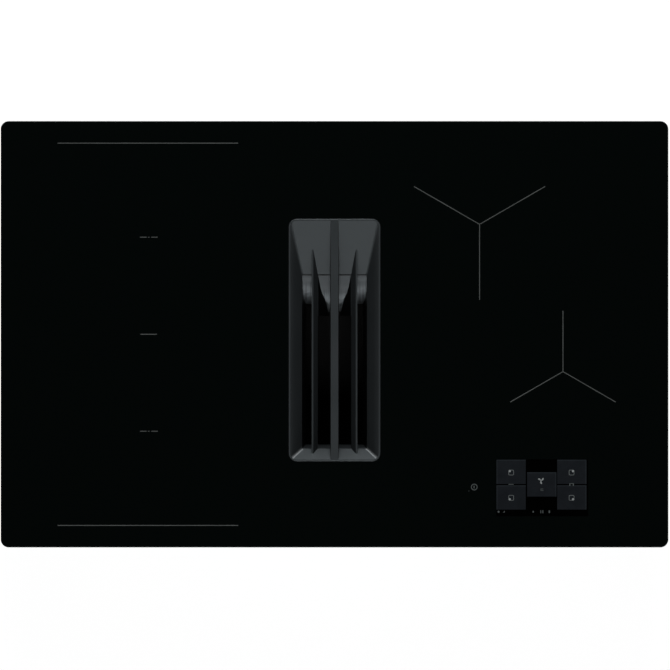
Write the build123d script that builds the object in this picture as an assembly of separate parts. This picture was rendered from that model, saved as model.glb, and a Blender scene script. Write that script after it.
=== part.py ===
from build123d import *
import math
import os
from dataclasses import dataclass

# Downdraft induction cooktop: a glass hob for a worktop cut-out, with an extractor well in its middle.
#
# Frame: the origin is the centre of the glass plate, on the worktop that carries it, so z = 0 is the
# underside of the pressed rim seal. +X is to the right for someone at the front edge, +Y points to the
# back edge and +Z points up. All sizes are in millimetres.

# ---------------------------------------------------------------- driving dimensions

# Glass plate and rim seal
GLASS_WIDTH = 830.0
GLASS_DEPTH = 530.0
GLASS_THICK = 4.0
GLASS_CORNER = 10.0
GLASS_ARRIS = 0.5
SEAL_THICK = 2.0
SEAL_WIDTH = 10.0
SEAL_INSET = 3.0
BOND_THICK = 0.8
BOND_WIDTH = 7.0

# Whole unit below the worktop
DEPTH_BELOW_WORKTOP = 205.0
BASE_SHEET = 1.5

# Grille, let into the glass
WELL_Y = -7.2
GRILLE_WIDTH = 114.0
GRILLE_DEPTH = 301.0
GRILLE_CORNER = 10.0
GRILLE_PROUD = 1.0
GRILLE_GAP = 0.6
RIM_LIP = 2.0
RIM_ROUND = 0.7
FUNNEL_DEPTH = 16.2
FUNNEL_SIDE = 14.6
FUNNEL_FRONT = 13.3
FUNNEL_REAR = 66.6
FUNNEL_ROUND = 4.0
GRILLE_FOOT = 2.0
GRILLE_SKIN = 2.5
GRILLE_SKIRT = 3.0
RIB_WIDTH = 9.6
RIB_DRAFT = 0.8
BLADE_X = 27.4
BLADE_THICK = 2.0
BLADE_DROP = 8.7
BLADE_LEAN = 5.7
PAD_THICK = 1.2
PAD_LENGTH = 14.0
PAD_WIDTH = 2.0
PAD_CORNER = 0.9

# Filter casing, spill tray and the well round them
WELL_GAP = 1.2
INSERT_GAP = 0.5
INSERT_WALL = 2.0
DUCT_WALL = 2.5
DUCT_FLANGE = 9.0
COLLAR_FLANGE = 17.0
DUCT_SEAL_THICK = 2.0
SPILL_HEIGHT = 62.0
SPILL_ROUND = 6.0
LIP_DEPTH = 4.0
LIP_GAP = 0.5
LIP_THICK = 1.5
SKIRT_DROP = 32.6
SKIRT_TAPER = 4.6
SCOOP_GAP = 0.4
SCOOP_WALL = 2.0
SCOOP_RUN = 3.5
SCOOP_ROLL = 43.0
SCOOP_STEP = 10.0
SCOOP_SPLIT = 22.0
SCOOP_LIP = 1.0
VANE_REACH = 5.0
VANE_DROP = 18.0
VANE_TURN = 33.0
FILTER_END_GAP = 17.0
FILTER_THICK = 8.0
FILTER_BORDER = 6.0
FILTER_HEIGHT = 85.0
FILTER_LIFT = 8.0
RAIL_THICK = 2.0
MESH_THICK = 4.0
MESH_COLUMNS = 24
MESH_ROWS = 7
MESH_BAR = 2.0

# Hob tray
TRAY_EDGE_X = 30.0
TRAY_EDGE_Y = 25.0
TRAY_HEIGHT = 57.2
TRAY_SHEET = 1.0
TRAY_CORNER = 12.0
TRAY_FLANGE = 8.0
TRAY_DUCT_GAP = 1.3
VENT_SLOT = 4.0
VENT_PITCH = 8.0
VENT_LENGTH = 26.0
VENT_COUNT = 14
INTAKE_SLOTS = 9
INTAKE_EDGE = 2.0

# Worktop clips and screws
CUTOUT_GAP = 4.5
CLIP_WIDTH = 30.0
CLIP_SHEET = 0.8
CLIP_HEIGHT = 40.0
CLIP_FOOT = 10.8
CLIP_BELLY = 28.0
CLIP_TIP = 38.0
CLIP_TIP_GAP = 1.0
CLIP_Y = 140.0
SCREW_RADIUS = 2.0
SCREW_LENGTH = 8.0
SCREW_HEAD_RADIUS = 3.6
SCREW_HEAD = 2.2
SCREW_CLEARANCE = 0.05
SCREW_EDGE = 40.0

# Extractor fan
FAN_X = 178.0
FAN_Y = -10.0
IMPELLER_RADIUS = 82.0
IMPELLER_INNER = 66.0
IMPELLER_PLATE = 2.0
IMPELLER_FLOOR_GAP = 4.0
IMPELLER_TOP_GAP = 6.0
BLADE_COUNT = 36
BLADE_SKEW = 9.0
FAN_BLADE_THICK = 1.0
VOLUTE_RADIUS = 94.0
VOLUTE_STEP = 6.0
VOLUTE_WALL = 2.5
TONGUE_THICK = 9.0
OUTLET_WIDTH = 222.0
OUTLET_HEIGHT = 89.0
OUTLET_MARGIN = 1.0
SPIGOT_WALL = 2.0
SPIGOT_LENGTH = 30.0
SPIGOT_FLANGE = 2.5
SPIGOT_CORNER = 5.0
SPIGOT_GAP = 0.8
INLET_RADIUS = 60.0
INLET_WALL = 1.5
INLET_ROLL = 5.0
PLENUM_GAP = 5.0
PLENUM_MARGIN = 12.0
SHAFT_RADIUS = 4.0
SHAFT_CLEARANCE = 0.03
BEARING_RADIUS = 8.0
BEARING_WIDTH = 7.0
BEARING_SEAT = 2.0
SHAFT_END_GAP = 1.0
MOUNT_TUBE_WALL = 2.0
MOUNT_PLATE = 3.0
MOUNT_PLATE_RADIUS = 30.0
STATOR_RADIUS = 38.0
STATOR_HEIGHT = 22.0
STATOR_SLOTS = 12
STATOR_SLOT = 3.0
ROTOR_FLOOR_GAP = 4.0
TUBE_TOP_GAP = 2.0
ROTOR_AIR_GAP = 0.8
ROTOR_WALL = 4.0
ROTOR_HEIGHT = 34.0
HAT_WALL = 2.0

# Lower housing
HOUSING_LEFT = -150.0
HOUSING_FRONT_GAP = 25.0
HOUSING_REAR_GAP = 16.0
HOUSING_SIDE_GAP = 3.5
HOUSING_SHEET = 1.2
HOUSING_CORNER = 4.0
HOUSING_FLANGE = 12.0
BASE_FLANGE = 14.0
BASE_NOTCH = 20.0
BASE_VENT_GAP = 37.0

# Places of the cooking zones, each measured from what it lies beside
LEFT_ZONE_WIDTH = 216.0
LEFT_ZONE_CORNER = 60.0
LEFT_ZONE_SIDE = 45.0
LEFT_ZONE_EDGE = 12.0
LEFT_ZONE_GAP = 24.0
REAR_ZONE_WIDTH = 188.0
REAR_ZONE_EDGE = 9.3
REAR_ZONE_WELL = 11.1
FRONT_ZONE_GAP = 11.1
FRONT_ZONE_TOUCH = 23.1
FRONT_ZONE_SIDE = 23.0

# Induction coils and what carries them
MAT_THICK = 2.3
COIL_THICK = 3.0
COIL_HOLE = 22.0
COIL_GROOVE = 0.8
COIL_GROOVES = 6
CARRIER_THICK = 3.3
CARRIER_EDGE = 2.0
CARRIER_RIM = 4.0
FERRITE_THICK = 3.0
FERRITE_WIDTH = 12.0
FERRITE_BARS = 8
FERRITE_AIR = 0.5
COIL_PLATE_THICK = 1.5
COIL_PLATE_EDGE = 14.0
COIL_PLATE_GAP = 1.0
SENSOR_RADIUS = 7.0
SENSOR_GAP = 2.0
POST_RADIUS = 6.0
POST_HEIGHT = 25.0
POST_PIN = 3.0
POST_PIN_GAP = 2.0
POST_INSET = 14.0
SPRING_RADIUS = 5.5
SPRING_WIRE = 1.2

# Electronics
BOARD_THICK = 1.6
BOARD_RISE = 6.0
SUPPORT_RADIUS = 4.0
SUPPORT_INSET = 8.0
BOARD_FRONT_GAP = 133.0
BOARD_REAR_GAP = 47.0
BOARD_WELL_GAP = 32.8
BOARD_FAN_GAP = 6.0
HEATSINK_WIDTH = 60.0
HEATSINK_LENGTH = 150.0
HEATSINK_HEIGHT = 26.0
HEATSINK_BASE = 5.0
HEATSINK_FINS = 9
FIN_THICK = 2.0
PARTS_ROWS = 4
PARTS_REACH = 22.0
CAPACITOR_RADIUS = 9.0
CAPACITOR_HEIGHT = 24.0
CHOKE_WIDTH = 22.0
CHOKE_DEPTH = 28.0
CHOKE_HEIGHT = 20.0
FAN_SIDE_GAP = 9.0
LEFT_FAN_Y = -40.0
RIGHT_FAN_Y = 60.0
FAN_SIZE = 80.0
FAN_CORNER = 4.0
FAN_THICK = 25.0
FAN_BORE = 38.0
FAN_HUB = 17.0
FAN_TIP_GAP = 1.2
FAN_BLADES = 7
FAN_BLADE_PITCH = 35.0
FAN_BLADE_CHORD = 22.0
FAN_BLADE_SHEET = 1.4
FAN_CUP_WALL = 2.0
FAN_LOW_GAP = 1.0
FAN_HIGH_GAP = 3.0
FAN_STRUT = 4.0
FAN_SHAFT = 1.5
FAN_PLATE = 3.0
TOUCH_SIDE = 60.0
TOUCH_EDGE = 10.5
TOUCH_WIDTH = 130.0
TOUCH_DEPTH = 78.0
TOUCH_WALL = 2.0
TOUCH_CORNER = 3.0
TOUCH_GAP = 0.5
DISPLAY_WIDTH = 28.0
DISPLAY_DEPTH = 60.0
KEY_X = (-48.0, -28.0, 28.0, 48.0)
KEY_Y = (-16.0, 16.0)
TOUCH_DROP = 4.0
RIBBON_WIDTH = 16.0
RIBBON_THICK = 0.8
RIBBON_LAP = 12.0

# Mains connection
TERMINAL_SIDE = 53.0
TERMINAL_EDGE = 20.0
TERMINAL_WIDTH = 84.0
TERMINAL_DEPTH = 70.0
TERMINAL_HEIGHT = 38.0
TERMINAL_WALL = 2.0
TERMINAL_CORNER = 4.0
GLAND_BORE = 6.5
GLAND_WALL = 4.0
GLAND_LENGTH = 26.0
GLAND_CLEARANCE = 0.05
GLAND_NUT = 13.0
GLAND_NUT_LENGTH = 8.0
GLAND_INSIDE = 3.0
GLAND_COLLAR = 4.0
CLAMP_WIDTH = 60.0
CLAMP_DEPTH = 18.0
CLAMP_HEIGHT = 18.0
CLAMP_POLES = 5
CLAMP_PITCH = 12.0
CLAMP_SCREW = 2.5
CLAMP_SCREW_DEPTH = 8.0
CLAMP_MOUTH = (6.0, 5.0, 8.0)
CLAMP_MOUTH_RISE = 4.0

# Boards in the lower housing. Their parts are (place along the board, width, depth, height)
MOTOR_BOARD_WIDTH = 140.0
MOTOR_BOARD_EDGE = 16.0
MOTOR_BOARD_GAP = 18.0
MOTOR_BOARD_PARTS = [(-45.0, 26.0, 40.0, 22.0), (0.0, 34.0, 30.0, 14.0), (42.0, 20.0, 46.0, 28.0)]
MAINS_BOARD_SIDE = 14.0
MAINS_BOARD_EDGE = 20.0
MAINS_BOARD_LENGTH = 150.0
MAINS_BOARD_GAP = 8.0
MAINS_BOARD_PARTS = [(30.0, 44.0, 34.0, 32.0), (78.0, 36.0, 36.0, 26.0), (122.0, 40.0, 22.0, 20.0)]

# How far a cutting tool runs past what it cuts
OVERCUT = 1.0


@dataclass(frozen=True)
class Zone:
    """One cooking zone: its centre, its size across and the corner radius of its winding."""

    x: float
    y: float
    width: float
    depth: float
    corner: float


@dataclass(frozen=True)
class Bay:
    """One side of the hob tray: the board's rectangle and the place of its cooling fan."""

    board_low: tuple
    board_high: tuple
    fan_x: float
    fan_y: float


# ---------------------------------------------------------------- levels and places worked out from them

GLASS_BOTTOM = SEAL_THICK
GLASS_TOP = GLASS_BOTTOM + GLASS_THICK
BOND_BOTTOM = GLASS_BOTTOM - BOND_THICK

BASE_Z = -DEPTH_BELOW_WORKTOP
FLOOR_Z = BASE_Z + BASE_SHEET
WET_FLOOR = FLOOR_Z + DUCT_WALL

TRAY_WIDTH = GLASS_WIDTH - 2 * TRAY_EDGE_X
TRAY_DEPTH = GLASS_DEPTH - 2 * TRAY_EDGE_Y
TRAY_BOTTOM = BOND_BOTTOM - TRAY_HEIGHT
TRAY_FLOOR = TRAY_BOTTOM + TRAY_SHEET

GRILLE_TOP = GLASS_TOP + GRILLE_PROUD
THROAT_Z = GRILLE_TOP - FUNNEL_DEPTH
GRILLE_BOTTOM = THROAT_Z - GRILLE_FOOT
CASING_TOP = GRILLE_BOTTOM - PAD_THICK
SPILL_TOP = WET_FLOOR + SPILL_HEIGHT

FUNNEL_SLOPE = math.atan(FUNNEL_DEPTH / FUNNEL_REAR)
FUNNEL_HALF = GRILLE_WIDTH / 2 - RIM_LIP
FUNNEL_Y_FRONT = WELL_Y - GRILLE_DEPTH / 2 + RIM_LIP
FUNNEL_Y_REAR = WELL_Y + GRILLE_DEPTH / 2 - RIM_LIP
THROAT_HALF = FUNNEL_HALF - FUNNEL_SIDE
THROAT_FRONT = FUNNEL_Y_FRONT + FUNNEL_FRONT
THROAT_REAR = FUNNEL_Y_REAR - FUNNEL_REAR

SCOOP_BACK = THROAT_REAR - SCOOP_GAP
SCOOP_LEVEL = THROAT_Z - SCOOP_GAP
SCOOP_FRONT = SCOOP_BACK - SCOOP_RUN - SCOOP_ROLL * (1 - math.sin(FUNNEL_SLOPE)) - SCOOP_STEP
SCOOP_AXIS_Z = (SCOOP_LEVEL - (SCOOP_RUN + SCOOP_STEP) * math.tan(FUNNEL_SLOPE)
                - SCOOP_ROLL * math.cos(FUNNEL_SLOPE))
SCOOP_LOW = SCOOP_AXIS_Z - SCOOP_LIP

INSERT_WIDTH = GRILLE_WIDTH - 2 * INSERT_GAP
INSERT_DEPTH = GRILLE_DEPTH - 2 * INSERT_GAP
INSERT_CORNER = GRILLE_CORNER - INSERT_GAP
FILTER_LENGTH = INSERT_DEPTH - 2 * (INSERT_WALL + FILTER_END_GAP)
WELL_WIDTH = GRILLE_WIDTH + 2 * WELL_GAP
WELL_DEPTH = GRILLE_DEPTH + 2 * WELL_GAP
WELL_CORNER = GRILLE_CORNER + WELL_GAP

DUCT_FLANGE_TOP = TRAY_FLOOR + DUCT_WALL
COLLAR_BOTTOM = DUCT_FLANGE_TOP + DUCT_SEAL_THICK
DUCT_SIDE = WELL_WIDTH / 2 + DUCT_WALL

VOLUTE_TOP = WET_FLOOR + OUTLET_HEIGHT
COVER_TOP = VOLUTE_TOP + VOLUTE_WALL
PLENUM_TOP = TRAY_BOTTOM - PLENUM_GAP
PLENUM_HALF = VOLUTE_RADIUS + PLENUM_MARGIN - VOLUTE_WALL
HOUSING_FRONT = HOUSING_FRONT_GAP - TRAY_DEPTH / 2
HOUSING_REAR = TRAY_DEPTH / 2 - HOUSING_REAR_GAP
OUTLET_HALF = OUTLET_WIDTH / 2 + OUTLET_MARGIN
OUTLET_Y = HOUSING_REAR - HOUSING_SHEET - SPIGOT_FLANGE
OUTLET_Z = (WET_FLOOR + VOLUTE_TOP) / 2
HOUSING_RIGHT = FAN_X + OUTLET_HALF + HOUSING_SIDE_GAP + HOUSING_SHEET
HOUSING_X = (HOUSING_LEFT + HOUSING_RIGHT) / 2
HOUSING_Y = (HOUSING_FRONT + HOUSING_REAR) / 2
HOUSING_WIDTH = HOUSING_RIGHT - HOUSING_LEFT
HOUSING_DEPTH = HOUSING_REAR - HOUSING_FRONT

IMPELLER_LOW = WET_FLOOR + IMPELLER_FLOOR_GAP
IMPELLER_HIGH = VOLUTE_TOP - IMPELLER_TOP_GAP
MOUNT_TOP = WET_FLOOR + MOUNT_PLATE
MOUNT_TUBE_RADIUS = BEARING_RADIUS + MOUNT_TUBE_WALL
ROTOR_LOW = MOUNT_TOP + ROTOR_FLOOR_GAP
ROTOR_RADIUS = STATOR_RADIUS + ROTOR_AIR_GAP + ROTOR_WALL
ROTOR_TOP = ROTOR_LOW + ROTOR_HEIGHT
MOUNT_TUBE_TOP = ROTOR_TOP - ROTOR_WALL - TUBE_TOP_GAP
HAT_RADIUS = ROTOR_RADIUS + HAT_WALL
HAT_TOP = ROTOR_TOP + HAT_WALL

MAT_BOTTOM = GLASS_BOTTOM - MAT_THICK
COIL_BOTTOM = MAT_BOTTOM - COIL_THICK
CARRIER_BOTTOM = COIL_BOTTOM - CARRIER_THICK
COIL_PLATE_TOP = CARRIER_BOTTOM - FERRITE_THICK - FERRITE_AIR
COIL_PLATE_BOTTOM = COIL_PLATE_TOP - COIL_PLATE_THICK
POST_TOP = TRAY_FLOOR + POST_HEIGHT

BOARD_BOTTOM = TRAY_FLOOR + BOARD_RISE
BOARD_TOP = BOARD_BOTTOM + BOARD_THICK
TOUCH_BOARD_TOP = GLASS_BOTTOM - TOUCH_DROP
TOUCH_BOARD_BOTTOM = TOUCH_BOARD_TOP - BOARD_THICK
TOUCH_X = TRAY_WIDTH / 2 - TOUCH_SIDE - TOUCH_WALL - TOUCH_WIDTH / 2
TOUCH_Y = TOUCH_EDGE + TOUCH_WALL + TOUCH_DEPTH / 2 - TRAY_DEPTH / 2
TERMINAL_X = TERMINAL_SIDE + TERMINAL_WIDTH / 2 - TRAY_WIDTH / 2
TERMINAL_Y = TRAY_DEPTH / 2 - TERMINAL_EDGE - TERMINAL_DEPTH / 2
TERMINAL_BOTTOM = TRAY_BOTTOM - TERMINAL_HEIGHT
TERMINAL_REAR = TERMINAL_Y + TERMINAL_DEPTH / 2
GLAND_Z = TRAY_BOTTOM - TERMINAL_HEIGHT / 2

# The left zones share the tray's depth. On the right, the rear zone lies beside the well and the front
# zone takes the depth that is left between it and the touch panel.
LEFT_ZONE_X = LEFT_ZONE_SIDE + LEFT_ZONE_WIDTH / 2 - TRAY_WIDTH / 2
LEFT_ZONE_DEPTH = (TRAY_DEPTH - LEFT_ZONE_GAP) / 2 - LEFT_ZONE_EDGE
LEFT_ZONE_Y = (LEFT_ZONE_GAP + LEFT_ZONE_DEPTH) / 2
REAR_ZONE_X = WELL_WIDTH / 2 + COLLAR_FLANGE + REAR_ZONE_WELL + REAR_ZONE_WIDTH / 2
REAR_ZONE_Y = TRAY_DEPTH / 2 - REAR_ZONE_EDGE - REAR_ZONE_WIDTH / 2
FRONT_ZONE_REAR = REAR_ZONE_Y - REAR_ZONE_WIDTH / 2 - FRONT_ZONE_GAP
FRONT_ZONE_FRONT = TOUCH_Y + TOUCH_DEPTH / 2 + TOUCH_WALL + FRONT_ZONE_TOUCH
FRONT_ZONE_WIDTH = FRONT_ZONE_REAR - FRONT_ZONE_FRONT
FRONT_ZONE_X = TRAY_WIDTH / 2 - FRONT_ZONE_SIDE - FRONT_ZONE_WIDTH / 2
FRONT_ZONE_Y = (FRONT_ZONE_REAR + FRONT_ZONE_FRONT) / 2
ROUND_ZONE = 0.499

ZONES = {
    "left_rear": Zone(LEFT_ZONE_X, LEFT_ZONE_Y, LEFT_ZONE_WIDTH, LEFT_ZONE_DEPTH, LEFT_ZONE_CORNER),
    "left_front": Zone(LEFT_ZONE_X, -LEFT_ZONE_Y, LEFT_ZONE_WIDTH, LEFT_ZONE_DEPTH, LEFT_ZONE_CORNER),
    "right_rear": Zone(REAR_ZONE_X, REAR_ZONE_Y, REAR_ZONE_WIDTH, REAR_ZONE_WIDTH,
                       ROUND_ZONE * REAR_ZONE_WIDTH),
    "right_front": Zone(FRONT_ZONE_X, FRONT_ZONE_Y, FRONT_ZONE_WIDTH, FRONT_ZONE_WIDTH,
                        ROUND_ZONE * FRONT_ZONE_WIDTH),
}

BOARD_NEAR = WELL_WIDTH / 2 + DUCT_FLANGE + BOARD_WELL_GAP
COOLING_X = TRAY_WIDTH / 2 - FAN_SIDE_GAP - FAN_SIZE / 2
BOARD_FAR = COOLING_X - FAN_SIZE / 2 - BOARD_FAN_GAP
BOARD_REAR = TRAY_DEPTH / 2 - BOARD_REAR_GAP
BOARD_FRONT = BOARD_FRONT_GAP - TRAY_DEPTH / 2

BAYS = {
    "left": Bay((-BOARD_FAR, BOARD_FRONT), (-BOARD_NEAR, BOARD_REAR), -COOLING_X, LEFT_FAN_Y),
    "right": Bay((BOARD_NEAR, BOARD_FRONT), (BOARD_FAR, BOARD_REAR), COOLING_X, RIGHT_FAN_Y),
}


# ---------------------------------------------------------------- shared shapes

def box_between(low, high):
    """Box between its lowest and its highest corner."""
    size = [b - a for a, b in zip(low, high)]
    centre = [(a + b) / 2 for a, b in zip(low, high)]
    return Pos(*centre) * Box(*size)


def round_block(width, depth, corner, z_low, z_high, x=0.0, y=0.0):
    """Upright block with rounded vertical edges."""
    return extrude(Pos(x, y, z_low) * RectangleRounded(width, depth, corner), z_high - z_low)


def round_ring(width, depth, corner, wall, z_low, z_high, x=0.0, y=0.0):
    """Upright ring with rounded corners, given by its outer size and its wall."""
    outer = RectangleRounded(width, depth, corner)
    inner = RectangleRounded(width - 2 * wall, depth - 2 * wall, max(corner - wall, 0.5))
    return extrude(Pos(x, y, z_low) * (outer - inner), z_high - z_low)


def upright_cylinder(radius, z_low, z_high, x=0.0, y=0.0):
    """Cylinder along Z between two levels."""
    return Pos(x, y, (z_low + z_high) / 2) * Cylinder(radius, z_high - z_low)


def drill(radius, z_low, z_high, x=0.0, y=0.0):
    """Cylinder that cuts a hole right through between two levels."""
    return upright_cylinder(radius, z_low - OVERCUT, z_high + OVERCUT, x, y)


def upright_tube(radius, bore, z_low, z_high, x=0.0, y=0.0):
    """Tube along Z between two levels."""
    return upright_cylinder(radius, z_low, z_high, x, y) - upright_cylinder(bore, z_low, z_high, x, y)


def xz_prism(points, y_low, y_high):
    """Prism along Y with its outline given as (x, z) points."""
    outline = Plane.XZ.offset(-y_high) * Polygon(*points, align=None)
    return extrude(outline, y_high - y_low, dir=(0, -1, 0))


def yz_prism(points, x_low, x_high):
    """Prism along X with its outline given as (y, z) points."""
    outline = Plane.YZ.offset(x_low) * Polygon(*points, align=None)
    return extrude(outline, x_high - x_low, dir=(1, 0, 0))


def spread(low, high, count):
    """Evenly spaced places from low to high, both included."""
    return [low + (high - low) * i / (count - 1) for i in range(count)]


def screw_spots():
    """Planes of the pan-head screws: origin under the head, z_dir out of the sheet."""
    rise = FLOOR_Z + BASE_FLANGE / 2
    edge = SCREW_EDGE
    front = [(x, HOUSING_FRONT, rise) for x in spread(HOUSING_LEFT + edge, HOUSING_RIGHT - edge, 3)]
    left = [(HOUSING_LEFT, y, rise) for y in spread(HOUSING_FRONT + edge, HOUSING_REAR - edge, 3)]
    rear = [(x, HOUSING_REAR, rise) for x in (HOUSING_LEFT + edge, HOUSING_LEFT + 4 * edge)]
    right = [(HOUSING_RIGHT, HOUSING_FRONT + edge, rise)]
    spots = [Plane(origin=p, z_dir=(0, -1, 0)) for p in front]
    spots += [Plane(origin=p, z_dir=(-1, 0, 0)) for p in left]
    spots += [Plane(origin=p, z_dir=(0, 1, 0)) for p in rear]
    spots += [Plane(origin=p, z_dir=(1, 0, 0)) for p in right]
    for side, y in clip_spots():
        out = TRAY_WIDTH / 2 + CLIP_SHEET
        spots.append(Plane(origin=(side * out, y, clip_screw_z()), z_dir=(side, 0, 0)))
    return spots


def screw_holes():
    """Tools that cut the holes of all pan-head screws."""
    hole = Pos(0, 0, -SCREW_LENGTH / 2) * Cylinder(SCREW_RADIUS + SCREW_CLEARANCE, SCREW_LENGTH)
    return [spot * hole for spot in screw_spots()]


# ---------------------------------------------------------------- glass, seal and tray

def glass_top():
    """Black glass plate with ground edges and the cut-out for the grille."""
    plate = round_block(GLASS_WIDTH, GLASS_DEPTH, GLASS_CORNER, GLASS_BOTTOM, GLASS_TOP)
    cut_width = GRILLE_WIDTH + 2 * GRILLE_GAP
    cut_depth = GRILLE_DEPTH + 2 * GRILLE_GAP
    cut_corner = GRILLE_CORNER + GRILLE_GAP
    plate -= round_block(cut_width, cut_depth, cut_corner,
                         GLASS_BOTTOM - OVERCUT, GLASS_TOP + OVERCUT, y=WELL_Y)
    top_edges = plate.faces().sort_by(Axis.Z)[-1].edges()
    return chamfer(top_edges, GLASS_ARRIS)


def rim_seal():
    """Foam seal ring between the glass rim and the worktop."""
    width = GLASS_WIDTH - 2 * SEAL_INSET
    depth = GLASS_DEPTH - 2 * SEAL_INSET
    return round_ring(width, depth, GLASS_CORNER - SEAL_INSET / 2, SEAL_WIDTH, 0, SEAL_THICK)


def glass_bonding():
    """Silicone beads that hold the tray and the well collar to the glass."""
    tray = round_ring(TRAY_WIDTH - 2 * TRAY_SHEET, TRAY_DEPTH - 2 * TRAY_SHEET,
                      TRAY_CORNER, BOND_WIDTH, BOND_BOTTOM, GLASS_BOTTOM)
    width = WELL_WIDTH + 2 * COLLAR_FLANGE - 2 * DUCT_WALL
    depth = WELL_DEPTH + 2 * COLLAR_FLANGE - 2 * DUCT_WALL
    collar = round_ring(width, depth, WELL_CORNER + COLLAR_FLANGE - DUCT_WALL,
                        BOND_WIDTH, BOND_BOTTOM, GLASS_BOTTOM, y=WELL_Y)
    return Compound([tray.solid(), collar.solid()])


def floor_vents():
    """Slots of the tray floor, in a round pattern under each fan."""
    tools = []
    reach = FAN_BORE - INTAKE_EDGE
    half_width = (INTAKE_SLOTS - 1) * VENT_PITCH / 2
    for bay in BAYS.values():
        for across in spread(-half_width, half_width, INTAKE_SLOTS):
            half = math.sqrt(reach ** 2 - across ** 2)
            low = (bay.fan_x + across - VENT_SLOT / 2, bay.fan_y - half, TRAY_BOTTOM - OVERCUT)
            high = (bay.fan_x + across + VENT_SLOT / 2, bay.fan_y + half, TRAY_FLOOR + OVERCUT)
            tools.append(box_between(low, high))
    return tools


def wall_vents():
    """Rows of slots in the front and rear walls of the tray."""
    tools = []
    middle = (TRAY_FLOOR + BOND_BOTTOM) / 2
    half_row = (VENT_COUNT - 1) * VENT_PITCH / 2
    for side_x in (-TRAY_WIDTH / 4, TRAY_WIDTH / 4):
        for side_y in (-TRAY_DEPTH / 2, TRAY_DEPTH / 2):
            for x in spread(side_x - half_row, side_x + half_row, VENT_COUNT):
                low = (x - VENT_SLOT / 2, side_y - 2 * TRAY_SHEET, middle - VENT_LENGTH / 2)
                high = (x + VENT_SLOT / 2, side_y + 2 * TRAY_SHEET, middle + VENT_LENGTH / 2)
                tools.append(box_between(low, high))
    return tools


def tray_frame():
    """Folded steel frame that forms the tray's walls, with its bonded flange and rows of vents."""
    walls = round_ring(TRAY_WIDTH, TRAY_DEPTH, TRAY_CORNER, TRAY_SHEET, TRAY_FLOOR, BOND_BOTTOM)
    flange = round_ring(TRAY_WIDTH, TRAY_DEPTH, TRAY_CORNER, TRAY_FLANGE,
                        BOND_BOTTOM - TRAY_SHEET, BOND_BOTTOM)
    return walls + flange - wall_vents() - screw_holes()


def tray_floor():
    """Steel sheet welded under the tray's frame, with the fan intakes and the hole for the duct."""
    floor = round_block(TRAY_WIDTH, TRAY_DEPTH, TRAY_CORNER, TRAY_BOTTOM, TRAY_FLOOR)
    duct = round_block(WELL_WIDTH + 2 * (DUCT_WALL + TRAY_DUCT_GAP),
                       WELL_DEPTH + 2 * (DUCT_WALL + TRAY_DUCT_GAP),
                       WELL_CORNER + DUCT_WALL, TRAY_BOTTOM - OVERCUT, TRAY_FLOOR + OVERCUT, y=WELL_Y)
    return floor - duct - floor_vents()


def clip_spots():
    """Side (-1 left, 1 right) and Y of each worktop clip."""
    return [(side, y) for side in (-1, 1) for y in (-CLIP_Y, CLIP_Y)]


def clip_screw_z():
    """Height of the clip screws."""
    return BOND_BOTTOM - CLIP_HEIGHT + CLIP_FOOT / 2


def worktop_clips():
    """Four leaf springs on the tray sides that press against the worktop cut-out."""
    low = BOND_BOTTOM - CLIP_HEIGHT
    wall = TRAY_WIDTH / 2
    path = [(wall, low), (wall, low + CLIP_FOOT), (wall + CUTOUT_GAP - CLIP_SHEET, low + CLIP_BELLY),
            (wall + CLIP_TIP_GAP, low + CLIP_TIP)]
    outline = path + [(x + CLIP_SHEET, z) for x, z in reversed(path)]
    clips = []
    for side, y in clip_spots():
        points = [(side * x, z) for x, z in outline]
        clip = xz_prism(points, y - CLIP_WIDTH / 2, y + CLIP_WIDTH / 2) - screw_holes()
        clips.append(clip.solid())
    return Compound(clips)


def housing_screws():
    """All pan-head screws: nine round the base and one in each worktop clip."""
    screw = Pos(0, 0, -SCREW_LENGTH / 2) * Cylinder(SCREW_RADIUS, SCREW_LENGTH)
    head = Pos(0, 0, SCREW_HEAD / 2) * Cylinder(SCREW_HEAD_RADIUS, SCREW_HEAD)
    head = fillet(head.edges().sort_by(Axis.Z)[-1], SCREW_HEAD / 2)
    screw += head
    return Compound([(spot * screw).solid() for spot in screw_spots()])


# ---------------------------------------------------------------- grille

def funnel_form(drop=0.0, grow=0.0):
    """Inside of the grille's funnel, dropped and widened for the skin round it."""
    top = GRILLE_TOP - drop
    throat = THROAT_Z - drop
    low = GRILLE_BOTTOM - OVERCUT
    high = GRILLE_TOP + OVERCUT
    wide = FUNNEL_HALF + grow
    narrow = THROAT_HALF + grow
    front, rear = FUNNEL_Y_FRONT - grow, FUNNEL_Y_REAR + grow
    throat_front, throat_rear = THROAT_FRONT - grow, THROAT_REAR + grow
    across = [(-wide, high), (-wide, top), (-narrow, throat), (-narrow, low),
              (narrow, low), (narrow, throat), (wide, top), (wide, high)]
    along = [(front, high), (front, top), (throat_front, throat), (throat_front, low),
             (throat_rear, low), (throat_rear, throat), (rear, top), (rear, high)]
    return xz_prism(across, front, rear) & yz_prism(along, -wide, wide)


def is_mitre(edge):
    """True for an edge that runs aslant in plan, between two sloped walls."""
    direction = edge.tangent_at(0.5)
    return abs(direction.X) > 0.1 and abs(direction.Y) > 0.1


def grille_blade(side):
    """One leaning blade of the grille, as long as the grille's inside."""
    top = GRILLE_TOP - BLADE_DROP
    half = BLADE_THICK / 2
    points = [(BLADE_X - half, top), (BLADE_X + half, top),
              (BLADE_X + half - BLADE_LEAN, THROAT_Z), (BLADE_X - half - BLADE_LEAN, THROAT_Z)]
    points = [(side * x, z) for x, z in points]
    return xz_prism(points, FUNNEL_Y_FRONT, FUNNEL_Y_REAR)


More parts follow.
